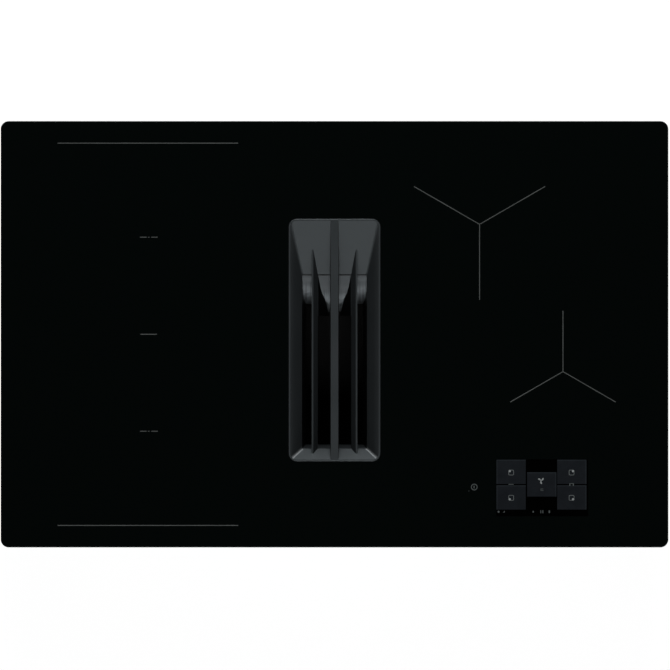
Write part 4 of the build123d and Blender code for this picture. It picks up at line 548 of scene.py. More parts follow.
@dataclass(frozen=True)
class Knitted(Finish):
    """Layers of expanded steel mesh: diamond openings, darkened as painted shade, with bright strands between
    them.
    """

    # Tone of the openings: painted shade of the layers behind.
    hole: str = "#000000"
    strand: float = 3.0
    lean: Point = (0.4, 1.6)
    strand_edge: tuple[float, float] = (0.18, 0.42)
    depth: float = 0.6

    def detail(self, bench: Bench) -> None:
        """Add the diamonds: two waves that run aslant across each other.

        Args:
            bench: the material in the making.
        """
        tree, waves = bench.tree, []
        for slant in (1.0, -1.0):
            turned = add_node(tree, "VectorMath", {0: bench.spot, 1: (self.lean[0], slant, self.lean[1])},
                              operation="DOT_PRODUCT")
            turn = add_node(tree, "Math", {0: turned, 1: math.pi / self.strand}, operation="MULTIPLY")
            wave = add_node(tree, "Math", {0: turn}, operation="SINE")
            waves.append(add_node(tree, "Math", {0: wave}, operation="ABSOLUTE"))
        web = add_node(tree, "Math", {0: waves[0], 1: waves[1]}, operation="MINIMUM")
        ramp = add_node(tree, "ValToRGB", {0: web})
        set_stops(ramp, zip(self.strand_edge, (self.colour, self.hole)))
        bench.link("Base Color", ramp)
        inverse = add_node(tree, "Math", {0: 1.0, 1: web}, operation="SUBTRACT")
        bench.emboss(inverse, self.depth)


@dataclass(frozen=True)
class Glowing(Finish):
    """Printed film that a lamp behind the glass lights faintly: the light adds to the film's own colour."""

    glow: str = "#000000"
    strength: float = 1.0
    mottle: float = 14.0
    evenness: tuple[float, float] = (0.88, 1.1)

    def detail(self, bench: Bench) -> None:
        """Add the light and the slight unevenness of a lit film.

        Args:
            bench: the material in the making.
        """
        slow = add_node(bench.tree, "TexNoise", {"Vector": bench.spot, "Scale": 1 / self.mottle})
        level = add_node(bench.tree, "MapRange", {
            0: slow, "From Min": NOISE_BAND[0], "From Max": NOISE_BAND[1],
            "To Min": self.evenness[0], "To Max": self.evenness[1]})
        light = add_node(bench.tree, "VectorMath", {0: linear(self.glow)[:3], "Scale": level},
                         operation="SCALE")
        bench.link("Emission Color", light)
        bench.shader.inputs["Emission Strength"].default_value = self.strength


# Glass-ceramic, rolled and fire-polished, through-dyed black: a dark mirror with satin ground edges.
BLACK_GLASS = GroundGlass("glass_ceramic_fire_polished_black", "#060a09", 0.035, ior=1.52, edge="#0b0f0e")

# Ceramic enamel, screen-printed and fired in: thin even grey lines, a touch duller than the glass.
ZONE_ENAMEL = Grained("enamel_screen_printed_grey", "#555857", 0.45, dark="#4f5251", light="#5b5e5d",
                      grain=0.5, depth=0.002, cloud=25.0)

# Polyester film under the glass with a lamp behind it: dim slate tiles, evenly lit.
KEY_FILM = Glowing("polyester_film_backlit_slate", "#0b0d0e", 0.05, ior=1.52, glow="#121417")

# The same film where its lit edge shows brighter.
KEY_EDGE = Glowing("polyester_film_backlit_edge", "#101314", 0.05, ior=1.52, glow="#181b1e")

# The display's black mask: deeper than the glass round it.
DISPLAY_MASK = Grained("polyester_film_printed_black", "#010101", 0.05, dark="#000000", light="#020202",
                       grain=1.0, depth=0.0005, ior=1.52)

# White windows in the mask, lit from behind: crisp symbols, greyish at their low standby level.
ICON_LIGHT = Glowing("polyester_film_lit_symbol", "#202323", 0.1, ior=1.52, glow="#727676", mottle=6.0)

# White symbols at half that level.
ICON_DIM = Glowing("polyester_film_dim_symbol", "#141616", 0.1, ior=1.52, glow="#565a5a", mottle=6.0)

# White symbols that only glimmer: the on key's ring and the small marks on, between and under the keys.
ICON_FAINT = Glowing("polyester_film_faint_symbol", "#0f1111", 0.1, ior=1.52, glow="#414545", mottle=6.0)

# Aluminium, pressure cast and sprayed with a dark metallic coat: satin, with a fine even grit.
# Painted shade darkens its flanks and the deeper part of the well, and a painted highlight makes the
# front mitres brighter and more metallic. The coat's grit is 0.2 mm in life and drawn at 0.9 mm, so
# that it shows.
CAST_COAT = MitreHighlight("cast_aluminium_satin_coat", "#474c4f", 0.42, metallic=0.55, dark="#444a4c",
                   light="#4c5154", grain=0.9, depth=0.012, cloud=60.0, spread=0.03,
                   bare="#25282a", low=-40.0, high=-30.0, flank=(0.45, 0.95), bright="#85898b")

# Glass-filled polyamide, moulded in a spark-eroded tool: nearly black, with a soft sheen.
POLYAMIDE = Grained("polyamide_moulded_black", "#26292b", 0.38, dark="#232628", light="#2a2d2f",
                    grain=1.1, depth=0.014, cloud=50.0)

# The same polyamide with a satin finish on the casing's deck and scoop. Painted shade darkens it on the
# flanks and further down the well, and a painted sheen in soft streaks lightens the steep front of the
# scoop and of the casing's front wall.
POLYAMIDE_SATIN = PaintedSheen("polyamide_moulded_satin", "#44494c", 0.33, metallic=0.45, dark="#414649",
                         light="#484d50", grain=0.9, depth=0.006, cloud=45.0, spread=0.03,
                         bare="#050606", low=-62.0, high=-26.0)

# Polyamide of the spill tray, moulded in a blasted tool: darker than the other polyamide, a painted shade
# that makes the well look bottomless.
POLYAMIDE_DEEP = Grained("polyamide_moulded_deep", "#060606", 0.55, dark="#050505", light="#080808",
                         grain=1.3, depth=0.02, cloud=40.0)

# Polypropylene with talc, moulded: mid grey, waxy, with faint flow clouds.
POLYPROPYLENE = Grained("polypropylene_moulded_grey", "#8f9294", 0.5, dark="#888b8d", light="#979a9c",
                        grain=1.4, depth=0.015, cloud=70.0)

# Steel sheet, hot-dip galvanised and folded: a pale blue-grey patchwork of zinc crystals.
GALVANISED = Spangled("steel_hot_dip_galvanised", "#aab0b3", 0.4, metallic=0.85, dark="#a2a8ac",
                      light="#b1b7ba", crystal=5.0, depth=0.003, spread=0.07)

# Spring steel strip, rolled and left bare: darker, with fine lines along the strip.
SPRING_STRIP = Drawn("spring_steel_rolled", "#84888a", 0.3, metallic=1.0, dark="#767a7d", light="#93979a",
                     along="z", length=30.0, line=0.7)

# Steel screws, cold headed and zinc plated: bright and slightly blue.
ZINC_PLATE = Grained("steel_zinc_plated_bright", "#b9bec2", 0.24, metallic=1.0, dark="#aeb4b8",
                     light="#c4c9cd", grain=0.6, depth=0.003, cloud=6.0)

# A driver recess drawn as a flat cross: the same plate, duller where the punch tore it, and darkened as
# painted shade of the recess's flanks.
ZINC_RECESS = Grained("steel_zinc_plated_recess", "#26282a", 0.6, metallic=0.6, dark="#1f2123",
                      light="#2e3032", grain=0.5, depth=0.01, cloud=4.0)

# EPDM rubber, moulded: black, dull, with a slight bloom.
EPDM = Grained("epdm_moulded_black", "#1d1e1f", 0.7, dark="#191a1b", light="#232425", grain=1.0,
               depth=0.02, cloud=20.0)

# Polyethylene foam strip, closed-cell, slit and glued on: dark, matt, with cells that show.
FOAM_STRIP = Grained("polyethylene_foam_slit", "#2a2b2c", 0.9, dark="#202122", light="#343536", grain=0.9,
                     depth=0.18, cloud=12.0)

# Silicone, gunned as a bead and cured: black and slightly glossy.
SILICONE = Grained("silicone_bead_cured", "#202020", 0.35, dark="#1c1c1c", light="#262626", grain=6.0,
                   depth=0.25, cloud=30.0)

# Stainless mesh, expanded and stacked: bright strands, with painted shade in the openings for the depth
# behind.
FILTER_MESH = Knitted("stainless_steel_expanded", "#b4b7b8", 0.32, metallic=1.0, hole="#2b2d2e")

# Stainless sheet, rolled and folded round the filter: fine lines along its length.
FILTER_SHEET = Drawn("stainless_steel_rolled", "#b0b3b5", 0.28, metallic=1.0, dark="#a2a6a8",
                     light="#bfc2c4", along="y", length=80.0)

# Polyamide fan wheel, moulded: black, smoother than the housings.
FAN_MOULDING = Grained("polyamide_moulded_fan", "#1f2021", 0.42, dark="#1b1c1d", light="#252627",
                       grain=0.8, depth=0.006, cloud=30.0)

# Litz of enamelled copper, wound flat and baked: warm copper rings at the strand bundle's pitch.
LITZ = Wound("copper_litz_wound", "#b06a3c", 0.38, metallic=1.0, dark="#8a4c28", light="#c87e4a")

# Ferrite, pressed and sintered: charcoal, dull, slightly gritty.
FERRITE = Grained("ferrite_sintered", "#3a3b3d", 0.6, dark="#323335", light="#434446", grain=0.7,
                  depth=0.02, cloud=15.0)

# Ceramic fibre, pressed as a mat: off-white felt with loose strands.
FIBRE_MAT = Grained("ceramic_fibre_pressed", "#e4e0d6", 0.95, dark="#d3cec2", light="#efece4", grain=1.6,
                    depth=0.25, cloud=18.0)

# Aluminium, extruded or rolled and left bare: pale, with die lines along its length.
ALUMINIUM = Drawn("aluminium_extruded", "#c3c6c9", 0.34, metallic=1.0, dark="#b4b8bb", light="#cfd2d5",
                  along="y", length=120.0)

# Glass-epoxy board, etched, masked green and tinned: tracks under the mask, bright round pads.
BOARD = Etched("glass_epoxy_etched_green", "#1f5a37", 0.35, track="#2f7048", pad="#c9cbc6")

# Motor steel, stamped and turned: dark grey with fine turning marks about the shaft. The marks are
# about 0.2 mm apart in life and drawn 0.8 mm apart, so that they show.
MOTOR_STEEL = Wound("electrical_steel_turned", "#7b7e81", 0.35, metallic=1.0, dark="#6c6f72",
                    light="#8a8d90", pitch=0.8, depth=0.01)

# White card floor: matt, so that only the object's soft shadow shows on it.
FLOOR_CARD = Finish("card_matt_white", "#f2f2f2", 1.0)


# ---------------------------------------------------------------- mesh building


def put_in_scene(name: str, data: bpy.types.ID) -> bpy.types.Object:
    """Make an object of a mesh, lamp or camera and link it to the scene.

    Args:
        name: the object's name.
        data: what it shows.

    Returns:
        The new object.
    """
    thing = bpy.data.objects.new(name, data)
    bpy.context.scene.collection.objects.link(thing)
    return thing


class Mesh:
    """One mesh in the making, in millimetres, that becomes a piece of the scene."""

    def __init__(self, name: str) -> None:
        """Start an empty mesh under the piece's name."""
        self.name = name
        self.work = bmesh.new()

    def loop(self, points: Iterable[Point], level: float) -> list[bmesh.types.BMVert]:
        """Put a row of points on one level.

        Args:
            points: places across the piece.
            level: their height.

        Returns:
            The new vertices in the same order.
        """
        return [self.work.verts.new((x * METRES, y * METRES, level * METRES)) for x, y in points]

    def wall(self, low: list[bmesh.types.BMVert], high: list[bmesh.types.BMVert]) -> None:
        """Join two closed rows of vertices with a band of faces.

        Args:
            low: the first row.
            high: the second row, as long as the first.
        """
        for i in range(len(low)):
            j = (i + 1) % len(low)
            self.work.faces.new((low[i], low[j], high[j], high[i]))

    def slab(self, outline: Sequence[Point], low: float, high: float) -> None:
        """Add a closed slab.

        Args:
            outline: its corners, counter-clockwise.
            low: level of its underside.
            high: level of its top.
        """
        bottom, top = self.loop(outline, low), self.loop(outline, high)
        self.wall(bottom, top)
        self.work.faces.new(top)
        self.work.faces.new(list(reversed(bottom)))

    def frame(self, outer: Sequence[Point], inner: Sequence[Point], low: float, high: float) -> None:
        """Add a closed slab with one hole.

        Args:
            outer: the outer corners, counter-clockwise.
            inner: as many inner corners in the same order.
            low: level of its underside.
            high: level of its top.
        """
        rows = [self.loop(outer, low), self.loop(outer, high), self.loop(inner, high), self.loop(inner, low)]
        for i, row in enumerate(rows):
            self.wall(row, rows[(i + 1) % len(rows)])

    def cap(self, outline: Sequence[Point], seat: Vector, out: Vector, thickness: float) -> None:
        """Add a slab that lies on a seat which faces any way.

        Args:
            outline: its corners round the seat's middle, counter-clockwise.
            seat: middle of the seat in metres.
            out: unit vector out of the seat.
            thickness: the slab's thickness.
        """
        before = set(self.work.verts)
        self.slab(outline, 0.0, thickness)
        turn = Matrix.Translation(seat) @ out.to_track_quat("Z", "Y").to_matrix().to_4x4()
        fresh = [vertex for vertex in self.work.verts if vertex not in before]
        bmesh.ops.transform(self.work, matrix=turn, verts=fresh)

    def piece(self, finish: Finish, body: str) -> None:
        """Turn the mesh into a dressed piece that rides on a body.

        Args:
            finish: the piece's finish.
            body: name of the body that carries it.
        """
        bmesh.ops.recalc_face_normals(self.work, faces=self.work.faces[:])
        data = bpy.data.meshes.new(self.name)
        self.work.to_mesh(data)
        self.work.free()
        data.materials.append(finish.material())
        thing = put_in_scene(self.name, data)
        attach(thing, body)
        LOG.info("made %s with %d faces", self.name, len(data.polygons))


def rectangle(x: float, y: float, width: float, depth: float) -> list[Point]:
    """Corners of a rectangle, counter-clockwise.

    Args:
        x: centre across.
        y: centre along.
        width: size across.
        depth: size along.

    Returns:
        Its four corners.
    """
    half_x, half_y = width / 2, depth / 2
    return [(x - half_x, y - half_y), (x + half_x, y - half_y), (x + half_x, y + half_y),
            (x - half_x, y + half_y)]


def rounded(x: float, y: float, width: float, depth: float, corner: float, steps: int = 5) -> list[Point]:
    """Outline of a rectangle with rounded corners, counter-clockwise.

    Args:
        x: centre across.
        y: centre along.
        width: size across.
        depth: size along.
        corner: corner radius.
        steps: points on each corner.

    Returns:
        The outline's points.
    """
    points = []
    for quarter, (side_x, side_y) in enumerate(((1, 1), (-1, 1), (-1, -1), (1, -1))):
        centre_x = x + side_x * (width / 2 - corner)
        centre_y = y + side_y * (depth / 2 - corner)
        for step in range(steps):
            angle = math.pi / 2 * (quarter + step / (steps - 1))
            points.append((centre_x + corner * math.cos(angle), centre_y + corner * math.sin(angle)))
    return points


def circle(x: float, y: float, radius: float, steps: int = 32) -> list[Point]:
    """Outline of a circle, counter-clockwise.

    Args:
        x: centre across.
        y: centre along.
        radius: its radius.
        steps: number of points.

    Returns:
        The outline's points.
    """
    turns = [2 * math.pi * i / steps for i in range(steps)]
    return [(x + radius * math.cos(a), y + radius * math.sin(a)) for a in turns]


# ---------------------------------------------------------------- what is printed on the glass


# Points on the outline of a symbol's dot, and of the smaller pilot dot.
DOT_STEPS, PILOT_STEPS = 20, 16


@dataclass
class GlassPrint:
    """Layers on or just behind the glass face, drawn as films on its top."""

    top: float
    body: str = "hob"
    film: float = 0.02

    def layer(self, name: str, finish: Finish, outlines: Iterable[Sequence[Point]],
              rank: int = 1, rings: Iterable[tuple[Sequence[Point], Sequence[Point]]] = ()) -> None:
        """Add one film.

        Args:
            name: the piece's name.
            finish: its finish.
            outlines: closed outlines of its solid parts.
            rank: 1 for a film on the glass, 2 for one over that, and so on.
            rings: outer and inner outline of each ring.
        """
        film = Mesh(name)
        high = self.top + rank * self.film
        for outline in outlines:
            film.slab(outline, self.top, high)
        for outer, inner in rings:
            film.frame(outer, inner, self.top, high)
        film.piece(finish, self.body)

    def marks(self, x: float, y: float, marks: Iterable[Mark]) -> list[list[Point]]:
        """Outlines of small rectangles round one place.

        Args:
            x: the place across.
            y: the place along.
            marks: shift across, shift along, width and depth of each rectangle.

        Returns:
            One outline for each mark.
        """
        return [rectangle(x + aside, y + ahead, width, depth) for aside, ahead, width, depth in marks]


@dataclass
class ZoneMarks(GlassPrint):
    """Printed lines of the cooking zones."""

    line: float = 1.0
    bridge_x: float = -232.0
    bridge_width: float = 224.4
    bridge_reach: float = 237.6
    dash_x: float = -231.0
    dash_y: tuple[float, float] = (120.7, -120.5)
    dash_middle: float = 20.4
    dash_runs: tuple[tuple[float, float], ...] = ((-10.8, -2.6), (-0.8, 1.0), (3.2, 11.2))
    star_rear: Point = (180.3, 136.7)
    star_rear_arm: float = 94.0
    star_rear_first: float = 30.0
    star_front: Point = (284.0, -46.4)
    star_front_arm: float = 75.7
    star_front_first: float = 90.0

    def bridge(self) -> list[list[Point]]:
        """Outlines of the two lines and the middle dash of the left zone.

        Returns:
            Three strokes.
        """
        lines = [rectangle(self.bridge_x, y, self.bridge_width, self.line)
                 for y in (self.bridge_reach, -self.bridge_reach)]
        return [*lines, rectangle(self.dash_x, 0.0, self.dash_middle, self.line)]

    def dashes(self) -> list[list[Point]]:
        """Outlines of the broken marks: a dash, a dot and a dash, at the middle of each half zone.

        Returns:
            Six strokes.
        """
        return [rectangle(self.dash_x + (low + high) / 2, y, high - low, self.line)
                for y in self.dash_y for low, high in self.dash_runs]

    def star(self, centre: Point, arm: float, first: float) -> list[list[Point]]:
        """Outlines of a three-armed star without an overlap at its centre.

        Args:
            centre: where the arms meet.
            arm: length of an arm.
            first: direction of the first arm in degrees.

        Returns:
            Its outline, as one closed shape in a list.
        """
        half = self.line / 2
        inner = half / math.sin(math.pi / 3)
        points = []
        for third in range(3):
            angle = math.radians(first + 120 * third)
            along, across = (math.cos(angle), math.sin(angle)), (-math.sin(angle), math.cos(angle))
            for side in (-1, 1):
                points.append((centre[0] + arm * along[0] + side * half * across[0],
                               centre[1] + arm * along[1] + side * half * across[1]))
            between = angle + math.pi / 3
            points.append((centre[0] + inner * math.cos(between), centre[1] + inner * math.sin(between)))
        return [points]

    def build(self) -> None:
        """Print all zone marks."""
        self.layer("zone_lines_left", ZONE_ENAMEL, self.bridge())
        self.layer("zone_dashes_left", ZONE_ENAMEL, self.dashes())
        self.layer("zone_star_rear", ZONE_ENAMEL,
                   self.star(self.star_rear, self.star_rear_arm, self.star_rear_first))
        self.layer("zone_star_front", ZONE_ENAMEL,
                   self.star(self.star_front, self.star_front_arm, self.star_front_first))


class Corner(Enum):
    """Corner of a zone symbol that holds its dot, as the zone lies on the hob."""

    REAR_LEFT = (-1, 1)
    FRONT_LEFT = (-1, -1)
    REAR_RIGHT = (1, 1)
    FRONT_RIGHT = (1, -1)


@dataclass
class TouchPanel(GlassPrint):
    """Touch keys and lit symbols at the front right of the glass.

    The keys, the display, the bottom row and the power symbol have places on the glass. Every other
    place is a shift from the key, symbol or row that it belongs to.
    """

    display: tuple[float, float, float, float] = (258.0, -190.8, 114.4, 70.9)
    key_width: float = 36.4
    key_depth: float = 30.2
    left_x: float = 219.5
    middle_x: float = 257.6
    right_x: float = 295.0
    rear_y: float = -171.0
    front_y: float = -202.8
    middle_y: float = -186.6
    edge: float = 1.3
    symbol: float = 6.7
    symbol_corner: float = 1.4
    symbol_left: float = 0.1
    symbol_right: float = -0.3
    symbol_rear: float = -0.9
    symbol_front: float = -0.5
    line: float = 0.6
    dot_radius: float = 1.35
    dot_inset: float = 1.6
    link_left: tuple[Mark, ...] = ((0.0, 0.4, 6.4, 0.8),)
    link_right: tuple[Mark, ...] = ((-2.2, 0.0, 1.2, 3.2), (2.2, 0.0, 1.2, 3.2), (0.0, 1.2, 3.2, 0.8))
    fan_shift: Point = (-0.9, 4.7)
    hub_radius: float = 0.8
    petals: tuple[float, float, float] = (-98.0, 28.0, 130.0)
    petal_root: float = 0.4
    petal_length: float = 3.9
    petal_sweep: float = 0.3
    # Half the width at the root and what the swell adds to it, then the powers that shape the swell.
    petal_width: tuple[float, float] = (0.3, 0.75)
    petal_shape: tuple[float, float] = (1.3, 0.8)
    fan_level_shift: float = -6.6
    fan_level: tuple[Mark, ...] = ((0.0, 0.0, 0.8, 3.0), (1.9, 0.9, 2.0, 0.7), (1.9, -1.1, 2.0, 0.7))
    row_y: float = -220.6
    lock_x: float = -15.6
    lock_radius: float = 1.25
    pause: tuple[Mark, ...] = ((-1.2, 0.0, 1.0, 3.6), (1.4, 0.0, 1.0, 3.6))
    arrow_x: float = -8.4
    arrow: tuple[Point, ...] = ((-1.8, -0.9), (0.6, -0.9), (0.6, 1.2))
    timer: tuple[Mark, ...] = ((-10.6, 0.0, 1.5, 2.0), (9.4, 0.0, 1.7, 3.2))
    power: Point = (173.7, -189.9)
    power_radius: float = 4.05
    power_line: float = 0.95
    # The stem is its shift across, width, depth and corner; the pilot dot its two shifts and radius.
    power_stem: tuple[float, float, float, float] = (-0.2, 1.3, 3.4, 0.5)
    pilot: tuple[float, float, float] = (-6.7, -4.9, 0.4)

    def keys(self) -> list[Point]:
        """Centres of the five key tiles.

        Returns:
            Left rear, left front, middle, right rear and right front.
        """
        return [(self.left_x, self.rear_y), (self.left_x, self.front_y), (self.middle_x, self.middle_y),
                (self.right_x, self.rear_y), (self.right_x, self.front_y)]

    def tiles(self) -> None:
        """Lay the black mask, the five tiles and their lighter rear and side edges."""
        self.layer("display_mask", DISPLAY_MASK, [rectangle(*self.display)])
        tiles = [rectangle(x, y, self.key_width, self.key_depth) for x, y in self.keys()]
        self.layer("key_tiles", KEY_FILM, tiles, rank=2)
        edges = []
        for x, y in self.keys():
            rear = y + self.key_depth / 2 - self.edge / 2
            outward = -1 if x < self.middle_x else 1
            side = x + outward * (self.key_width - self.edge) / 2
            edges.append(rectangle(x, rear, self.key_width, self.edge))
            edges.append(rectangle(side, y - self.edge / 2, self.edge, self.key_depth - self.edge))
        self.layer("key_edges", KEY_EDGE, edges, rank=3)

    def zone_symbols(self) -> None:
        """Draw the four zone symbols: a rounded frame with a dot in the zone's corner."""
        left, right = self.left_x + self.symbol_left, self.right_x + self.symbol_right
        rear, front = self.rear_y + self.symbol_rear, self.front_y + self.symbol_front
        inner_size, shift = self.symbol - 2 * self.line, self.symbol / 2 - self.dot_inset
        rings, dots = [], []
        for corner in Corner:
            side, end = corner.value
            x, y = (left if side < 0 else right), (rear if end > 0 else front)
            outer = rounded(x, y, self.symbol, self.symbol, self.symbol_corner)
            inner = rounded(x, y, inner_size, inner_size, self.symbol_corner - self.line)
            rings.append((outer, inner))
            dots.append(circle(x + side * shift, y + end * shift, self.dot_radius, DOT_STEPS))
        self.layer("zone_symbol_frames", ICON_DIM, [], rank=4, rings=rings)
        self.layer("zone_symbol_dots", ICON_LIGHT, dots, rank=5)

    def bridge_symbols(self) -> None:
        """Draw the small link marks between the rear and the front key of each side."""
        between = (self.rear_y + self.front_y) / 2
        marks = self.marks(self.left_x, between, self.link_left)
        marks += self.marks(self.right_x + self.symbol_right, between, self.link_right)
        self.layer("bridge_symbols", ICON_FAINT, marks, rank=4)

    def petal(self, centre: Point, lean: float, steps: int = 12) -> list[Point]:
        """Outline of one swept petal of the extractor symbol.

        Args:
            centre: the symbol's hub.
            lean: direction of its root in degrees.
            steps: points along each side.

        Returns:
            The petal's outline.
        """
        sides: tuple[list[Point], list[Point]] = ([], [])
        for step in range(steps + 1):
            along = step / steps
            reach = self.petal_root + self.petal_length * along
            angle = math.radians(lean) + self.petal_sweep * along
            bulge = math.sin(math.pi * along ** self.petal_shape[0]) ** self.petal_shape[1]
            swell = self.petal_width[0] + self.petal_width[1] * bulge
            for points, side in zip(sides, (-swell, swell)):
                points.append((centre[0] + reach * math.cos(angle) - side * math.sin(angle),
                               centre[1] + reach * math.sin(angle) + side * math.cos(angle)))
        return sides[0] + list(reversed(sides[1]))

    def fan_symbol(self) -> None:
        """Draw the extractor symbol: a hub with three petals and a small level mark below."""
        x, y = self.middle_x + self.fan_shift[0], self.middle_y + self.fan_shift[1]
        petals = [self.petal((x, y), lean) for lean in self.petals]
        self.layer("fan_symbol", ICON_LIGHT, petals + [circle(x, y, self.hub_radius, DOT_STEPS)], rank=4)
        marks = self.marks(x, self.middle_y + self.fan_level_shift, self.fan_level)
        self.layer("fan_level_symbol", ICON_FAINT, marks, rank=4)

    def bottom_row(self) -> None:
        """Draw the row of small symbols under the keys: lock dot, arrow, timer marks and pause bars."""
        lock = circle(self.left_x + self.lock_x, self.row_y, self.lock_radius, DOT_STEPS)
        pause = self.marks(self.middle_x, self.row_y, self.pause)
        self.layer("pause_symbol", ICON_FAINT, [lock, *pause], rank=2)
        tip = self.left_x + self.arrow_x
        arrow = [(tip + x, self.row_y + y) for x, y in self.arrow]
        timer = self.marks(self.middle_x, self.row_y, self.timer)
        self.layer("timer_symbols", ICON_FAINT, [arrow, *timer], rank=2)

    def power_symbol(self) -> None:
        """Draw the power symbol on the plain glass left of the keys, with its pilot dot."""
        x, y = self.power
        rings = [(circle(x, y, self.power_radius), circle(x, y, self.power_radius - self.power_line))]
        aside, width, depth, corner = self.power_stem
        stem = rounded(x + aside, y, width, depth, corner)
        pilot = circle(x + self.pilot[0], y + self.pilot[1], self.pilot[2], PILOT_STEPS)
        self.layer("power_symbol", ICON_FAINT, [stem, pilot], rings=rings)

    def build(self) -> None:
        """Lay the panel's films in order."""
        self.tiles()
        self.zone_symbols()
        self.bridge_symbols()
        self.fan_symbol()
        self.bottom_row()
        self.power_symbol()


# ---------------------------------------------------------------- construction pieces


@dataclass
class Dressing:
    """Which finish each construction piece of the frame wears."""

    plain: dict[Finish, tuple[str, ...]] = field(default_factory=lambda: {
        BLACK_GLASS: ("glass_top",),
        CAST_COAT: ("grille",),
        POLYAMIDE_SATIN: ("filter_casing",),
        POLYAMIDE_DEEP: ("spill_tray",),
        POLYAMIDE: ("well_collar", "suction_duct", "outlet_spigot", "touch_carrier",
                    "terminal_box", "terminal_cover", "cable_gland", "coil_carriers_left",
                    "coil_carriers_right", "cooling_frame_left", "cooling_frame_right", "board_parts"),
        POLYPROPYLENE: ("plenum_box", "volute_base", "volute_cover", "inlet_ring", "spring_posts",
                        "temperature_sensors", "board_supports", "ribbon_cable", "terminal_block"),
        GALVANISED: ("tray_frame", "tray_floor", "lower_housing", "base_plate"),
        SPRING_STRIP: ("worktop_clips", "coil_springs"),
        ZINC_PLATE: ("housing_screws",),
        EPDM: ("grille_pads", "duct_seal"),
        FOAM_STRIP: ("rim_seal",),
        SILICONE: ("glass_bonding",),
        FILTER_MESH: ("filter_mesh",),
        FILTER_SHEET: ("filter_frame",),
        FAN_MOULDING: ("fan_impeller", "cooling_rotor_left", "cooling_rotor_right"),
        FERRITE: ("ferrite_bars",),
        FIBRE_MAT: ("insulation_mats",),
        ALUMINIUM: ("heatsinks", "coil_plate_left", "coil_plate_right", "motor_mount"),
        BOARD: ("inverter_board_left", "inverter_board_right", "touch_board", "motor_board",
                "mains_filter_board"),
    })
    coils: tuple[str, ...] = ("coil_left_rear", "coil_left_front", "coil_right_rear", "coil_right_front")
    motor: tuple[str, ...] = ("fan_shaft", "motor_rotor", "motor_stator", "motor_bearings")

    def dress(self, node: bpy.types.Object, finish: Finish) -> None:
        """Put one finish on a construction piece.

        Args:
            node: the piece.
            finish: its finish.
        """
        node.data.materials.clear()
        node.data.materials.append(finish.material())
        LOG.info("dressed %s in %s", node.name, finish.name)

    def build(self, nodes: dict[str, bpy.types.Object]) -> None:
        """Dress every construction piece.

        Args:
            nodes: the frame's pieces by name.
        """
        for finish, names in self.plain.items():
            for name in names:
                self.dress(nodes[name], finish)
        axis = middle("fan_shaft")
        for name in self.motor:
            self.dress(nodes[name], replace(MOTOR_STEEL, centre=axis))
        for name in self.coils:
            self.dress(nodes[name], replace(LITZ, name=LITZ.name + "_" + name, centre=middle(name)))
        bare = set(nodes).difference(self.motor, self.coils, *self.plain.values())
        LOG.info("left bare: %s", sorted(bare))


def middle(node: str) -> Point:
    """Centre of a construction piece in plan, in millimetres."""
    low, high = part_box(node)
    return ((low.x + high.x) / 2 / METRES, (low.y + high.y) / 2 / METRES)


@dataclass
class DriverRecesses:
    """Cross recesses in the screw heads, laid in as thin dark crosses: painted shade of the recesses."""

    arm: float = 1.9
    width: float = 0.75
    thickness: float = 0.06
    shank: float = 2.5
    weld: float = 0.001

    def solids(self, node: bpy.types.Object) -> list[list[Vector]]:
        """Split a construction piece into the vertices of its separate solids.

        Args:
            node: the piece.

        Returns:
            One list of points for each solid.
        """
        work = bmesh.new()
        work.from_mesh(node.data)
        bmesh.ops.remove_doubles(work, verts=work.verts[:], dist=self.weld * METRES)
        groups, seen = [], set()
        for first in work.verts:
            if first in seen:
                continue
            seen.add(first)
            group, front = [], [first]
            while front:
                vertex = front.pop()
                group.append(vertex.co.copy())
                for edge in vertex.link_edges:
                    other = edge.other_vert(vertex)
                    if other not in seen:
                        seen.add(other)
                        front.append(other)
            groups.append(group)
        work.free()
        return groups

    def head(self, points: Sequence[Vector]) -> tuple[Vector, Vector]:
        """Find the top of one screw's head.

        Args:
            points: the screw's vertices.

        Returns:
            The middle of the head's top and the direction out of it.
        """
        low = [min(point[axis] for point in points) for axis in range(3)]
        high = [max(point[axis] for point in points) for axis in range(3)]
        centre = Vector([(a + b) / 2 for a, b in zip(low, high)])
        along = max(range(3), key=lambda axis: high[axis] - low[axis])
        wide = [point[along] for point in points
                if self.off_axis(point - centre, along) > self.shank * METRES]
        side = 1.0 if sum(wide) / len(wide) > centre[along] else -1.0
        out, seat = Vector((0.0, 0.0, 0.0)), centre.copy()
        out[along] = side
        seat[along] = high[along] if side > 0 else low[along]
        return seat, out

    def off_axis(self, offset: Vector, along: int) -> float:
        """Distance of a point from the screw's axis, given its offset from the screw's centre."""
        return math.hypot(*[offset[axis] for axis in range(3) if axis != along])

    def cross(self) -> list[Point]:
        """Outline of the cross, counter-clockwise.

        Returns:
            Its twelve corners.
        """
        arm, half = self.arm, self.width / 2
        quarter = [(half, half), (half, arm), (-half, arm)]
        points = []
        for turn in range(4):
            cosine, sine = round(math.cos(math.pi / 2 * turn)), round(math.sin(math.pi / 2 * turn))
            points += [(x * cosine - y * sine, x * sine + y * cosine) for x, y in quarter]
        return points

    def build(self, screws: bpy.types.Object, body: str) -> None:
        """Lay a cross in each head of a group of screws.

        Args:
            screws: the group.
            body: name of the body that carries it.
        """
        recesses = Mesh("screw_recesses")
        for points in self.solids(screws):
            seat, out = self.head(points)
            recesses.cap(self.cross(), seat, out, self.thickness)
        recesses.piece(ZINC_RECESS, body)


